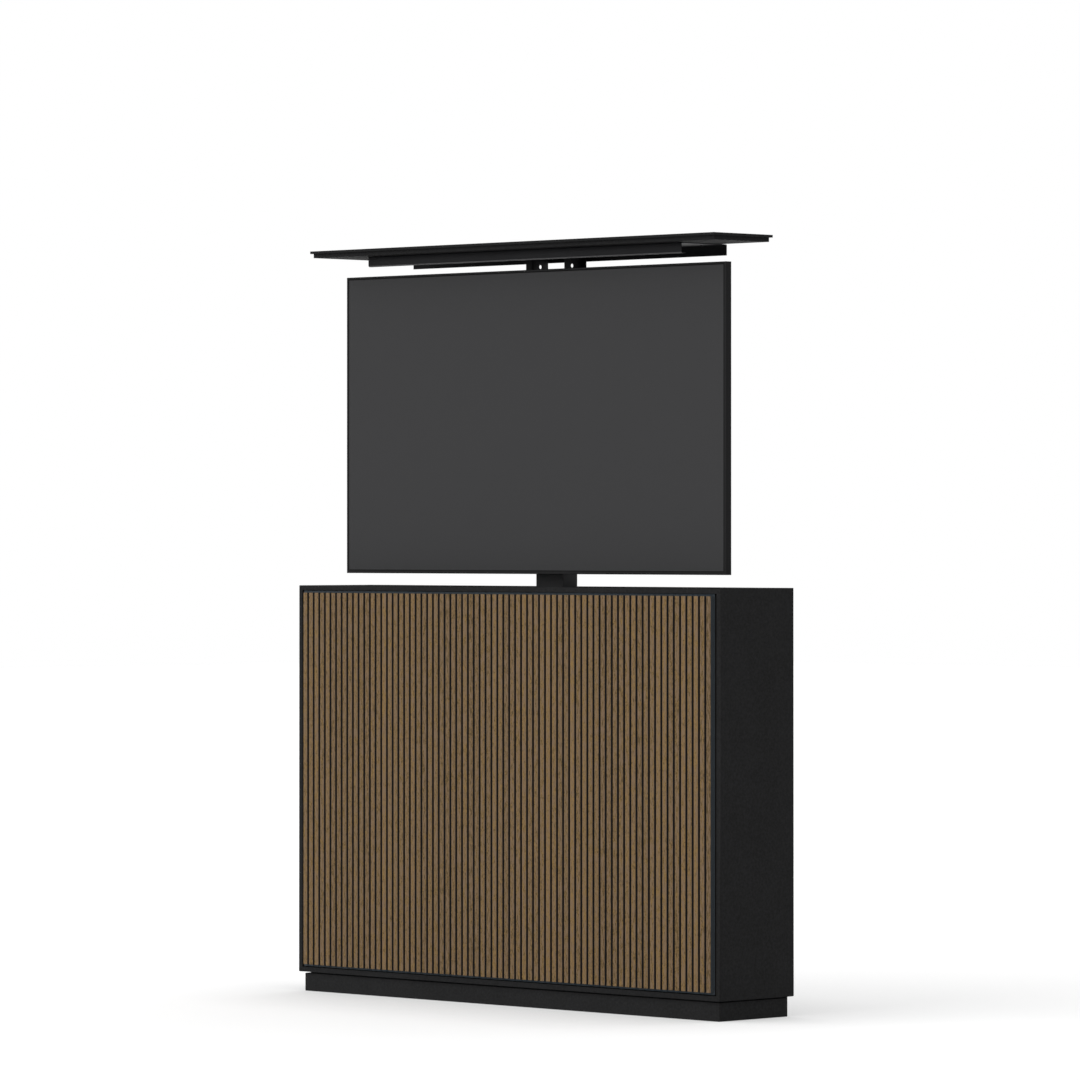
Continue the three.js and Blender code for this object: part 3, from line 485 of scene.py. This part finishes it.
streaked = add_node(
    wood,
    "ShaderNodeMapRange",
    {"Value": wood_patterns["streak"], "From Min": 0.42, "From Max": 0.6, "To Max": 1.0},
).outputs["Result"]
greyed_wood = add_node(
    wood,
    "ShaderNodeMix",
    {mixed["factor"]: streaked, mixed["first"]: heartwood, mixed["second"]: linear("#745f49")},
    data_type="RGBA",
).outputs[mixed["result"]]
pore_share = add_node(
    wood, "ShaderNodeMath", {0: pores, 1: pore_darkness}, operation="MULTIPLY"
).outputs[0]
veneer_colour = add_node(
    wood,
    "ShaderNodeMix",
    {mixed["factor"]: pore_share, mixed["first"]: greyed_wood, mixed["second"]: linear("#3a2c1b")},
    data_type="RGBA",
).outputs[mixed["result"]]
veneer_gloss = add_node(
    wood,
    "ShaderNodeMapRange",
    {
        "Value": wood_patterns["growth"],
        "From Min": 0.3,
        "From Max": 0.7,
        "To Min": 0.5,
        "To Max": 0.66,
    },
).outputs["Result"]
veneer_height = add_node(
    wood,
    "ShaderNodeMath",
    {0: pores, 1: -1.0, 2: wood_patterns["growth"]},
    operation="MULTIPLY_ADD",
).outputs[0]
veneer_bump = add_node(
    wood, "ShaderNodeBump", {"Height": veneer_height, "Distance": 0.06 * mm, "Strength": 1.0}
).outputs["Normal"]
veneer_shader = add_node(
    wood,
    "ShaderNodeBsdfPrincipled",
    {
        "Base Color": veneer_colour,
        "Roughness": veneer_gloss,
        "Normal": veneer_bump,
        "Specular IOR Level": 0.12,
    },
)
add_node(wood, "ShaderNodeOutputMaterial", {"Surface": veneer_shader.outputs["BSDF"]})

log = random.Random(69)
slats = bmesh.new()
cut_layer = slats.verts.layers.float.new("slat_cut")
tone_layer = slats.verts.layers.float.new("slat_tone")
for slat in range(slat_count):
    middle = panel_low.x + (slat + 0.5) * slat_pitch
    corner_x = half_slat - slat_edge
    right_corner = [
        (
            middle + corner_x + slat_edge * math.cos(turn),
            panel_low.y + slat_edge - slat_edge * math.sin(turn),
        )
        for turn in [step / slat_edge_steps * math.pi / 2 for step in range(slat_edge_steps + 1)]
    ]
    left_corner = [(2 * middle - x, y) for x, y in right_corner]
    outline = [(middle + half_slat, slat_back), (middle - half_slat, slat_back)]
    outline += left_corner + right_corner[::-1]
    points, sides, ends = add_prism(slats, outline, panel_low.z, panel_high.z - slat_drop)
    cut, tone = log.random(), log.gauss(0.5, tone_spread / 2)
    for point in points:
        point[cut_layer] = cut
        point[tone_layer] = tone
    outward = {0: -1, slat_count - 1: 1}.get(slat, 0)
    for face in sides:
        face.normal_update()
        lined = face.normal.x * outward > 0.9
        face.material_index = 0 if face.normal.y < veneered else 2 if lined else 1
    for face in ends:
        face.material_index = 1
make_piece(
    "walnut_slats",
    "cabinet",
    slats,
    [walnut_veneer, slat_core, dark_felt],
    replaces=["slatted_front_panel"],
)

felt = bmesh.new()
felt_outline = []
for x, y, first_turn in [
    (panel_high.x - felt_edge, panel_high.y - felt_edge, 0),
    (backing_left + felt_edge, panel_high.y - felt_edge, 1),
    (backing_left + felt_edge, slat_back + felt_edge, 2),
    (panel_high.x - felt_edge, slat_back + felt_edge, 3),
]:
    for step in range(slat_edge_steps + 1):
        turn = (first_turn + step / slat_edge_steps) * math.pi / 2
        felt_outline.append((x + felt_edge * math.cos(turn), y + felt_edge * math.sin(turn)))
_, felt_sides, felt_ends = add_prism(felt, felt_outline, backing_low, backing_high)
# The backing's edges take the black core: painted shade, for the shade in the gap by the frame.
for face in felt_sides + felt_ends:
    face.normal_update()
    face.material_index = 0 if face.normal.y < -0.1 else 1
make_piece("felt_backing", "cabinet", felt, [dark_felt, slat_core])

# Cable grommet: a ring of black nylon, pressed through the back panel to guard the cables.
# It is moulded against a fine spark-eroded tool, so it has an even dull grain.
black_nylon = pebbled_finish(
    "black_nylon",
    "#131314",
    "#1a1a1b",
    pebble=0.9 * mm,
    relief=0.02 * mm,
    roughness=(0.5, 0.6),
    **{"Specular IOR Level": 0.35},
)
give_finish(["cable_grommet"], black_nylon, 0.3 * mm)

# Back panel screws: small zinc-plated screws with a crossed recess, driven through the back panel
# into the rebate all round. Their heads sit proud of the panel.
screw_head_radius = 2.9 * mm
screw_head_height = 1.7 * mm
screw_inset = 4 * mm
recess_arm = 1.5 * mm
recess_width = 0.45 * mm
recess_depth = 1.2 * mm

bright_zinc = pebbled_finish(
    "bright_zinc",
    "#a3a7ac",
    "#c2c6ca",
    pebble=1.5 * mm,
    relief=0.01 * mm,
    roughness=(0.28, 0.42),
    Metallic=1.0,
)

cross = []
for quarter in range(4):
    c, s = [(1, 0), (0, 1), (-1, 0), (0, -1)][quarter]
    for along, across in [
        (recess_arm, -recess_width),
        (recess_arm, 0),
        (recess_arm, recess_width),
        (recess_width, recess_width),
    ]:
        cross.append((along * c - across * s, along * s + across * c))


def add_screw_heads(mesh, places, out, size=1.0):
    """Adds screw heads with a crossed recess, each turned by chance. They stand on their places
    and point out."""
    facing = Vector(out).to_track_quat("Z", "Y").to_matrix()
    for place in places:
        twist = log.uniform(0, math.pi)
        c, s = math.cos(twist), math.sin(twist)
        turned_cross = [(x * c - y * s, x * s + y * c) for x, y in cross]
        angles = [math.atan2(y, x) for x, y in turned_cross]
        profile = [
            (screw_head_radius * wide, screw_head_height * high)
            for wide, high in [(1, 0), (1, 0.4), (0.93, 0.7), (0.78, 0.92), (0.6, 1)]
        ]
        levels = [
            [(radius * math.cos(a), radius * math.sin(a), height) for a in angles]
            for radius, height in profile
        ]
        for height in (screw_head_height, screw_head_height - recess_depth):
            levels.append([(x, y, height) for x, y in turned_cross])
        rings = [
            add_ring(mesh, [Vector(place) + facing @ Vector(point) * size for point in level])
            for level in levels
        ]
        for near, far in zip(rings, rings[1:]):
            bridge(mesh, near, far)
        mesh.faces.new(rings[0][::-1])
        mesh.faces.new(rings[-1])
    bmesh.ops.recalc_face_normals(mesh, faces=mesh.faces)


back_low, back_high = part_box("back_panel")
screws = bmesh.new()
side_rows = [
    back_low.z + screw_inset + share * (back_high.z - back_low.z)
    for share in (0.1, 0.3, 0.5, 0.7, 0.88)
]
level_rows = [share * back_high.x for share in (-0.9, -0.6, -0.3, 0, 0.3, 0.6, 0.9)]
screw_places = [
    (x, back_high.y, z)
    for x in (back_low.x + screw_inset, back_high.x - screw_inset)
    for z in side_rows
]
screw_places += [
    (x, back_high.y, z)
    for x in level_rows
    for z in (back_low.z + screw_inset, back_high.z - screw_inset)
]
add_screw_heads(screws, screw_places, (0, 1, 0))
make_piece("back_panel_screws", "cabinet", screws, [bright_zinc])

# Lift base: a steel plate, bolted through the cabinet's bottom. Powder coat, a fine sand texture
# baked on, covers it, the motor's casing and the television's brackets alike; the tubes take a
# lighter copy of it.
powder_coated_base = ["column_base_plate", "lift_motor"]
black_powder_coat = pebbled_finish(
    "black_powder_coat",
    "#131315",
    "#1b1b1d",
    pebble=0.8 * mm,
    relief=0.03 * mm,
    roughness=(0.42, 0.52),
    **{"Specular IOR Level": 0.08},
)
give_finish(powder_coated_base, black_powder_coat, 0.4 * mm)
give_finish(["base_bolt_1", "base_bolt_2", "base_bolt_3", "base_bolt_4"], bright_zinc, 0.3 * mm)

# Hat brackets of zinc-plated sheet, folded to tie the fixed tube to the back panel. Four screws
# hold each one's feet. The plating shows the rolled sheet's even satin below it.
bracket_sheet = 2.5 * mm
bracket_screw_x = 66 * mm
bracket_screw_rise = 18 * mm  # above and below the bracket's middle
hat_brackets = ["column_bracket_lower", "column_bracket_upper"]
give_finish(hat_brackets, bright_zinc)
bracket_screws = bmesh.new()
for hat_bracket in hat_brackets:
    hat_low, hat_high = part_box(hat_bracket)
    add_screw_heads(
        bracket_screws,
        [
            (x, hat_high.y - bracket_sheet, (hat_low.z + hat_high.z) / 2 + z)
            for x in (-bracket_screw_x, bracket_screw_x)
            for z in (-bracket_screw_rise, bracket_screw_rise)
        ],
        (0, -1, 0),
    )
make_piece("bracket_screws", "cabinet", bracket_screws, [bright_zinc])

# Gearbox: die-cast aluminium, left as cast, inside the foot of the fixed tube.
# The die leaves a dull grey skin with a slight grain.
cast_aluminium = pebbled_finish(
    "cast_aluminium",
    "#85878a",
    "#a2a4a6",
    pebble=1.2 * mm,
    relief=0.05 * mm,
    roughness=(0.42, 0.58),
    Metallic=1.0,
)
give_finish(["gearbox_housing"], cast_aluminium, 0.4 * mm)

# Column: three steel tubes, one inside the other, in a satin black that is painted a shade
# lighter than the powder coat: painted light, against the shade under the television. Nylon
# collars on the two outer ones and nylon feet under the two inner ones keep steel off steel.
# Painted light: a lighter copy of the black coat, for the shade that the television casts here.
lit_satin_black_tube = pebbled_finish(
    "lit_satin_black_tube",
    "#2e2e2f",
    "#373738",
    pebble=0.8 * mm,
    relief=0.02 * mm,
    roughness=(0.42, 0.5),
    **{"Specular IOR Level": 0.08},
)
give_finish(["outer_column", "middle_column", "inner_column"], lit_satin_black_tube)
give_finish(["outer_glide_collar", "middle_glide_collar"], black_nylon, 0.4 * mm)
give_finish(["middle_foot_nut", "inner_foot_nut"], black_nylon)

# Spindles: zinc-plated steel with a coarse two-start thread, which climbs 8 mm a turn. The gearbox
# turns the inner one, whose splined end drives the hollow one around it.
thread_climb = 8 * mm
thread_starts = 2
thread_steps = 20
thread_pitch = thread_climb / thread_starts
thread_flank = 0.13  # of the pitch, for each flank
thread_depth = 1.6 * mm
thread_overlap = 0.02 * mm  # of the thread's ends with the plain parts
journal_radius = 5.2 * mm
journal_length = 18 * mm
spline_length = 16 * mm
spline_root = 6.3 * mm
spline_count = 6
spline_taper = 0.22  # of a quarter pitch, by which each corner widens its tooth or its root
flange_thickness = 5 * mm
flange_edge = 0.4 * mm
hollow_radius = 12 * mm
hollow_bore = 8.2 * mm
drive_radius = 7 * mm


def circle(centre, radius, height, count=2 * thread_steps):
    """The points of a level circle round a spindle's axis."""
    return [
        (
            centre.x + radius * math.cos(2 * math.pi * i / count),
            centre.y + radius * math.sin(2 * math.pi * i / count),
            height,
        )
        for i in range(count)
    ]


def add_thread(mesh, centre, radius, low, high, bore=None):
    """Adds a threaded length, cut off level at both ends and closed there, round a bore if it has
    one."""
    cut_length = bmesh.new()
    profile = [
        (radius, 0),
        (radius, 0.5 - thread_flank),
        (radius - thread_depth, 0.5),
        (radius - thread_depth, 1 - thread_flank),
    ]
    pitches = math.ceil((high - low) / thread_pitch) + 2 * thread_starts
    columns = []
    for step in range(thread_steps):
        turn = 2 * math.pi * step / thread_steps
        climbed = thread_climb * step / thread_steps
        columns.append(
            add_ring(
                cut_length,
                [
                    (
                        centre.x + out * math.cos(turn),
                        centre.y + out * math.sin(turn),
                        low - thread_climb + thread_pitch * (k + up) + climbed,
                    )
                    for k in range(pitches)
                    for out, up in profile
                ],
            )
        )
    columns.append(columns[0][thread_starts * len(profile) :])
    for near, far in zip(columns, columns[1:]):
        for i in range(min(len(near), len(far)) - 1):
            cut_length.faces.new((near[i], far[i], far[i + 1], near[i + 1]))
    for height, way in ((low, -1), (high, 1)):
        cut = bmesh.ops.bisect_plane(
            cut_length,
            geom=cut_length.verts[:] + cut_length.edges[:] + cut_length.faces[:],
            plane_co=(0, 0, height),
            plane_no=(0, 0, way),
            clear_outer=True,
            dist=1e-7,
        )["geom_cut"]
        rim = [edge for edge in cut if isinstance(edge, bmesh.types.BMEdge) and edge.is_boundary]
        if bore:
            mouth = add_ring(cut_length, circle(centre, bore, height))
            rim += [
                cut_length.edges.new((mouth[i], mouth[(i + 1) % len(mouth)]))
                for i in range(len(mouth))
            ]
        bmesh.ops.triangle_fill(cut_length, use_beauty=True, edges=rim)
        if bore and way > 0:
            bridge(cut_length, low_mouth, mouth)
        low_mouth = mouth if bore else None
    bmesh.ops.recalc_face_normals(cut_length, faces=cut_length.faces)
    finished = bpy.data.meshes.new("thread")
    cut_length.to_mesh(finished)
    cut_length.free()
    mesh.from_mesh(finished)
    bpy.data.meshes.remove(finished)


spindle_low, spindle_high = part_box("drive_spindle")
spindle_axis = (spindle_low + spindle_high) / 2
spline_radius = (spindle_high.x - spindle_low.x) / 2
drive = bmesh.new()
add_thread(
    drive,
    spindle_axis,
    drive_radius,
    spindle_low.z + journal_length,
    spindle_high.z - spline_length,
)
journal = [
    add_ring(drive, circle(spindle_axis, journal_radius, height))
    for height in (spindle_low.z, spindle_low.z + journal_length + thread_overlap)
]
splines = []
for height in (spindle_high.z - spline_length - thread_overlap, spindle_high.z):
    outline = []
    for i in range(4 * spline_count):
        turn = (i + (spline_taper if i % 2 else -spline_taper)) * math.pi / (2 * spline_count)
        radius = spline_radius if i % 4 < 2 else spline_root
        outline.append(
            (
                spindle_axis.x + radius * math.cos(turn),
                spindle_axis.y + radius * math.sin(turn),
                height,
            )
        )
    splines.append(add_ring(drive, outline))
for near, far in (journal, splines):
    bridge(drive, near, far)
    drive.faces.new(near[::-1])
    drive.faces.new(far)
bmesh.ops.recalc_face_normals(drive, faces=drive.faces)
make_piece(
    "threaded_drive_spindle",
    "drive_spindle",
    drive,
    [bright_zinc],
    replaces=["drive_spindle"],
)

hollow_low, hollow_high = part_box("hollow_spindle")
flange_radius = (hollow_high.x - hollow_low.x) / 2
hollow = bmesh.new()
add_thread(
    hollow,
    spindle_axis,
    hollow_radius,
    hollow_low.z + flange_thickness,
    hollow_high.z,
    bore=hollow_bore,
)
flange_top = hollow_low.z + flange_thickness + thread_overlap
flange = [
    add_ring(hollow, circle(spindle_axis, radius, height))
    for radius, height in [
        (hollow_bore, hollow_low.z),
        (flange_radius - flange_edge, hollow_low.z),
        (flange_radius, hollow_low.z + flange_edge),
        (flange_radius, flange_top - flange_edge),
        (flange_radius - flange_edge, flange_top),
        (hollow_bore, flange_top),
    ]
]
for near, far in zip(flange, flange[1:] + flange[:1]):
    bridge(hollow, near, far)
bmesh.ops.recalc_face_normals(hollow, faces=hollow.faces)
make_piece(
    "threaded_hollow_spindle",
    "hollow_spindle",
    hollow,
    [bright_zinc],
    replaces=["hollow_spindle"],
)

# Control box: moulded ABS with a row of plug sockets, on the cabinet's floor.
# The tool's fine texture leaves it dull.
textured_plastic = pebbled_finish(
    "textured_plastic",
    "#0d0d0e",
    "#141415",
    pebble=0.8 * mm,
    relief=0.03 * mm,
    roughness=(0.4, 0.5),
    **{"Specular IOR Level": 0.08},
)
give_finish(["lift_control_box"], textured_plastic, 0.4 * mm)

# Television brackets and lid channel: sheet steel, punched and folded, then powder coated.
# Two uprights hang from the channel. Crossbars and arms, with four zinc bolts, join them to the
# television. Black screws hold the channel to the lid, and the uprights to the head bracket.
folded_steel = [
    "head_bracket",
    "upright_left",
    "upright_right",
    "crossbar_lower",
    "crossbar_upper",
    "tv_arm_left",
    "tv_arm_right",
    "lid_channel",
]
give_finish(folded_steel, black_powder_coat)
mounting_bolts = ["tv_mount_bolt_1", "tv_mount_bolt_2", "tv_mount_bolt_3", "tv_mount_bolt_4"]
give_finish(mounting_bolts, bright_zinc, 0.2 * mm)
channel_sheet = 1.5 * mm
upright_sheet = 2.5 * mm
channel_screw, large_screw = 1.3, 2.2  # times the small screws' size
channel_screw_inset = 30 * mm
screwed_holes = [183.4 * mm, 233.4 * mm]  # the fourth and fifth of the row, below its top
channel_low, channel_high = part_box("lid_channel")
upright_low, upright_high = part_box("upright_right")
lift_screws = bmesh.new()
add_screw_heads(
    lift_screws,
    [
        (x * mm, y, channel_high.z - channel_sheet)
        for x in (-470, -300, -130, 130, 300, 470)
        for y in (channel_low.y + channel_screw_inset, channel_high.y - channel_screw_inset)
    ],
    (0, 0, -1),
    size=channel_screw,
)
for side in (-1, 1):
    add_screw_heads(
        lift_screws,
        [
            (
                side * (upright_low.x + upright_sheet),
                (upright_low.y + upright_high.y) / 2,
                upright_high.z - below_top,
            )
            for below_top in screwed_holes
        ],
        (side, 0, 0),
        size=large_screw,
    )
make_piece("lift_head_screws", "lift_head", lift_screws, [black_powder_coat])

# Fold highlight: a thin grey strip laid on the lower fold of the channel's front flange. Its
# grey is a painted highlight, for the light that the fold catches, and shows as a light line under
# the flange.
fold_radius = 4 * mm  # outside, of the flange's lower fold
lip_rise = 1.3 * mm
strip_thickness = 0.4 * mm
strip_gap = 0.05 * mm
strip_reach = 2.4 * mm
strip_under = 6 * mm
fold_steps = 6
# Painted highlight: the light grey stands in for the light on the fold.
fold_highlight_grey = pebbled_finish(
    "fold_highlight_grey",
    "#49494a",
    "#565657",
    pebble=1.2 * mm,
    relief=0.02 * mm,
    roughness=(0.5, 0.6),
    **{"Specular IOR Level": 0.15},
)
fold_y = channel_low.y + fold_radius
fold_z = channel_low.z + lip_rise + fold_radius
strip_start = math.asin((fold_radius - strip_reach) / fold_radius)
turns = [
    strip_start + step / fold_steps * (math.pi / 2 - strip_start) for step in range(fold_steps + 1)
]
outer, inner = [
    [(fold_y - radius * math.cos(turn), fold_z - radius * math.sin(turn)) for turn in turns]
    for radius in (fold_radius + strip_thickness, fold_radius + strip_gap)
]
outer.append((fold_y + strip_under, outer[-1][1]))
inner.append((fold_y + strip_under, inner[-1][1]))
strip = bmesh.new()
strip_section = outer + inner[::-1]
strip_ends = [
    add_ring(strip, [(x, y, z) for y, z in strip_section]) for x in (channel_low.x, channel_high.x)
]
bridge(strip, *strip_ends)
strip.faces.new(strip_ends[0][::-1])
strip.faces.new(strip_ends[1])
bmesh.ops.recalc_face_normals(strip, faces=strip.faces)
make_piece("channel_fold_highlight_strip", "lift_head", strip, [fold_highlight_grey])

# Television case: a slim frame in the same textured ABS, the display's own tray, and a rear cover
# with a coarser sand texture. Small screws hold the cover on, all round its edge.
cover_screw_inset = 13 * mm
cover_screw_low = 11 * mm
cover_edge_back = 19.1 * mm  # the cover's edge, behind the front of the frame
give_finish(["tv_bezel"], textured_plastic, 0.6 * mm, "WEIGHT")
give_finish(["tv_display_module"], textured_plastic)
coarse_plastic = pebbled_finish(
    "coarse_plastic",
    "#1b1b1c",
    "#29292a",
    pebble=1.6 * mm,
    relief=0.06 * mm,
    roughness=(0.55, 0.68),
    **{"Specular IOR Level": 0.2},
)
give_finish(["tv_rear_cover"], coarse_plastic)
cover_low, cover_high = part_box("tv_rear_cover")
cover_edge_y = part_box("tv_bezel")[0].y + cover_edge_back
cover_screws = bmesh.new()
add_screw_heads(
    cover_screws,
    [
        (share * (cover_high.x - cover_screw_inset), cover_edge_y, z)
        for z in (cover_low.z + cover_screw_low, cover_high.z - cover_screw_inset)
        for share in (-0.8, -0.4, 0.4, 0.8)
    ]
    + [
        (x, cover_edge_y, cover_low.z + share * (cover_high.z - cover_low.z))
        for x in (cover_low.x + cover_screw_inset, cover_high.x - cover_screw_inset)
        for share in (0.1, 0.5, 0.9)
    ],
    (0, 1, 0),
)
make_piece("rear_cover_screws", "lift_head", cover_screws, [bright_zinc])

# Gasket: a flat ring of black foam rubber on the frame's lip, round the screen. It keeps dust out
# and draws a thin black line there.
gasket_inset = 6.6 * mm  # of its inner edge, from the frame's outer edge
gasket_chin = 2 * mm  # more below
gasket_width = 2.3 * mm
gasket_proud = 0.1 * mm
foam_rubber = pebbled_finish(
    "foam_rubber",
    "#030303",
    "#0a0a0a",
    pebble=1.0 * mm,
    relief=0.05 * mm,
    roughness=(0.85, 0.95),
    **{"Specular IOR Level": 0.1},
)
bezel_low, bezel_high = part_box("tv_bezel")
gasket = bmesh.new()
gasket_rings = []
for inset, depth in [(0, 1), (0, -1), (-gasket_width, -1), (-gasket_width, 1)]:
    reach = gasket_inset + inset
    x = bezel_high.x - reach
    low_z, high_z = bezel_low.z + reach + gasket_chin, bezel_high.z - reach
    gasket_rings.append(
        add_ring(
            gasket,
            [
                (across * x, bezel_low.y + depth * gasket_proud, z)
                for across, z in [(-1, low_z), (1, low_z), (1, high_z), (-1, high_z)]
            ],
        )
    )
for near, far in zip(gasket_rings, gasket_rings[1:] + gasket_rings[:1]):
    bridge(gasket, near, far)
bmesh.ops.recalc_face_normals(gasket, faces=gasket.faces)
make_piece("screen_gasket", "lift_head", gasket, [foam_rubber])

# Screen: switched off, with an anti-glare coat. The coat spreads the reflected room into one
# even grey, so that nothing is mirrored in it.
matt_screen = pebbled_finish(
    "matt_screen",
    "#323233",
    "#363637",
    pebble=1.0 * mm,
    relief=0.004 * mm,
    roughness=(0.42, 0.46),
    **{"Specular IOR Level": 0.08},
)
give_finish(["tv_screen"], matt_screen)

# Studio: a pale floor under an even sky, a broad soft lamp from the front left, another from above
# the back, and a third from behind the camera, which only picks out the edges. Seen directly or
# mirrored, the sky and the open floor are white, and the floor keeps the object's shadow, darkened
# near the object by painted shade.
floor_size = 60
room_light = 0.55
floor_glow = 0.5
painted_shade_reach = 500 * mm

world = bpy.data.worlds.new("studio_sky")
world.use_nodes = True
sky = world.node_tree
sky.nodes.clear()


def add_seen(tree):
    """1 on a ray from the camera, in a gloss or through a clear piece, and otherwise 0."""
    path = add_node(tree, "ShaderNodeLightPath").outputs
    seen = path["Is Camera Ray"]
    for kind in ("Is Glossy Ray", "Is Transmission Ray"):
        seen = add_node(
            tree, "ShaderNodeMath", {0: seen, 1: path[kind]}, operation="MAXIMUM"
        ).outputs[0]
    return seen


sky_strength = add_node(
    sky, "ShaderNodeMapRange", {"Value": add_seen(sky), "To Min": room_light, "To Max": 1.0}
).outputs["Result"]
sky_light = add_node(
    sky, "ShaderNodeBackground", {"Color": linear("#ffffff"), "Strength": sky_strength}
)
add_node(sky, "ShaderNodeOutputWorld", {"Surface": sky_light.outputs[0]})
bpy.context.scene.world = world

pale_floor = bpy.data.materials.new("pale_floor")
pale_floor.use_nodes = True
ground = pale_floor.node_tree
ground.nodes.clear()
bouncing = add_node(ground, "ShaderNodeBsdfDiffuse", {"Color": linear("#e7e7e7")}).outputs[0]
# Painted shade: an ambient occlusion node darkens the floor's seen colour near the object, on top
# of its real shadow.
painted_contact_shade = add_node(
    ground,
    "ShaderNodeAmbientOcclusion",
    {"Color": linear("#c9c9c9"), "Distance": painted_shade_reach},
    samples=8,
).outputs["Color"]
shadowed = add_node(ground, "ShaderNodeBsdfDiffuse", {"Color": painted_contact_shade}).outputs[0]
glow = add_node(
    ground, "ShaderNodeEmission", {"Color": linear("#ffffff"), "Strength": floor_glow}
).outputs[0]
seen_floor = add_node(ground, "ShaderNodeAddShader", {0: shadowed, 1: glow}).outputs[0]
floor_shader = add_node(
    ground, "ShaderNodeMixShader", {0: add_seen(ground), 1: bouncing, 2: seen_floor}
)
add_node(ground, "ShaderNodeOutputMaterial", {"Surface": floor_shader.outputs[0]})

floor_mesh = bmesh.new()
bmesh.ops.create_grid(floor_mesh, x_segments=4, y_segments=4, size=floor_size / 2)
floor_data = bpy.data.meshes.new("studio_floor")
floor_mesh.to_mesh(floor_data)
floor_mesh.free()
floor_data.materials.append(pale_floor)
studio_floor = bpy.data.objects.new("studio_floor", floor_data)
bpy.context.scene.collection.objects.link(studio_floor)

for lamp_name, strength, spread, way, lights_faces in [
    ("broad_lamp", 1.7, 70, (0.43, 0.75, -0.5), True),
    ("back_lamp", 0.64, 55, (0.18, -0.5, -0.85), True),
    ("edge_lamp", 8.0, 30, (-0.55, 0.6, -0.57), False),
]:
    lamp_data = bpy.data.lights.new(lamp_name, "SUN")
    lamp_data.energy = strength
    lamp_data.angle = math.radians(spread)
    lamp = bpy.data.objects.new(lamp_name, lamp_data)
    lamp.rotation_euler = Vector(way).to_track_quat("-Z", "Y").to_euler()
    lamp.visible_diffuse = lights_faces
    bpy.context.scene.collection.objects.link(lamp)

# Camera: level, a little above the cabinet's top, and square to its front right corner.
# It stands far off with a long lens, as in a catalogue picture.
camera_data = bpy.data.cameras.new("catalogue_camera")
camera_data.sensor_width = 36
camera_data.lens = 207.5
camera_data.clip_end = 200
camera_data.shift_y = -0.00024
camera = bpy.data.objects.new("catalogue_camera", camera_data)
camera.location = (10.3617, -10.2672, 1.0862)
camera.rotation_euler = (math.radians(90), 0, math.radians(45.2479))
bpy.context.scene.collection.objects.link(camera)
bpy.context.scene.camera = camera
bpy.context.scene.view_settings.view_transform = "Standard"
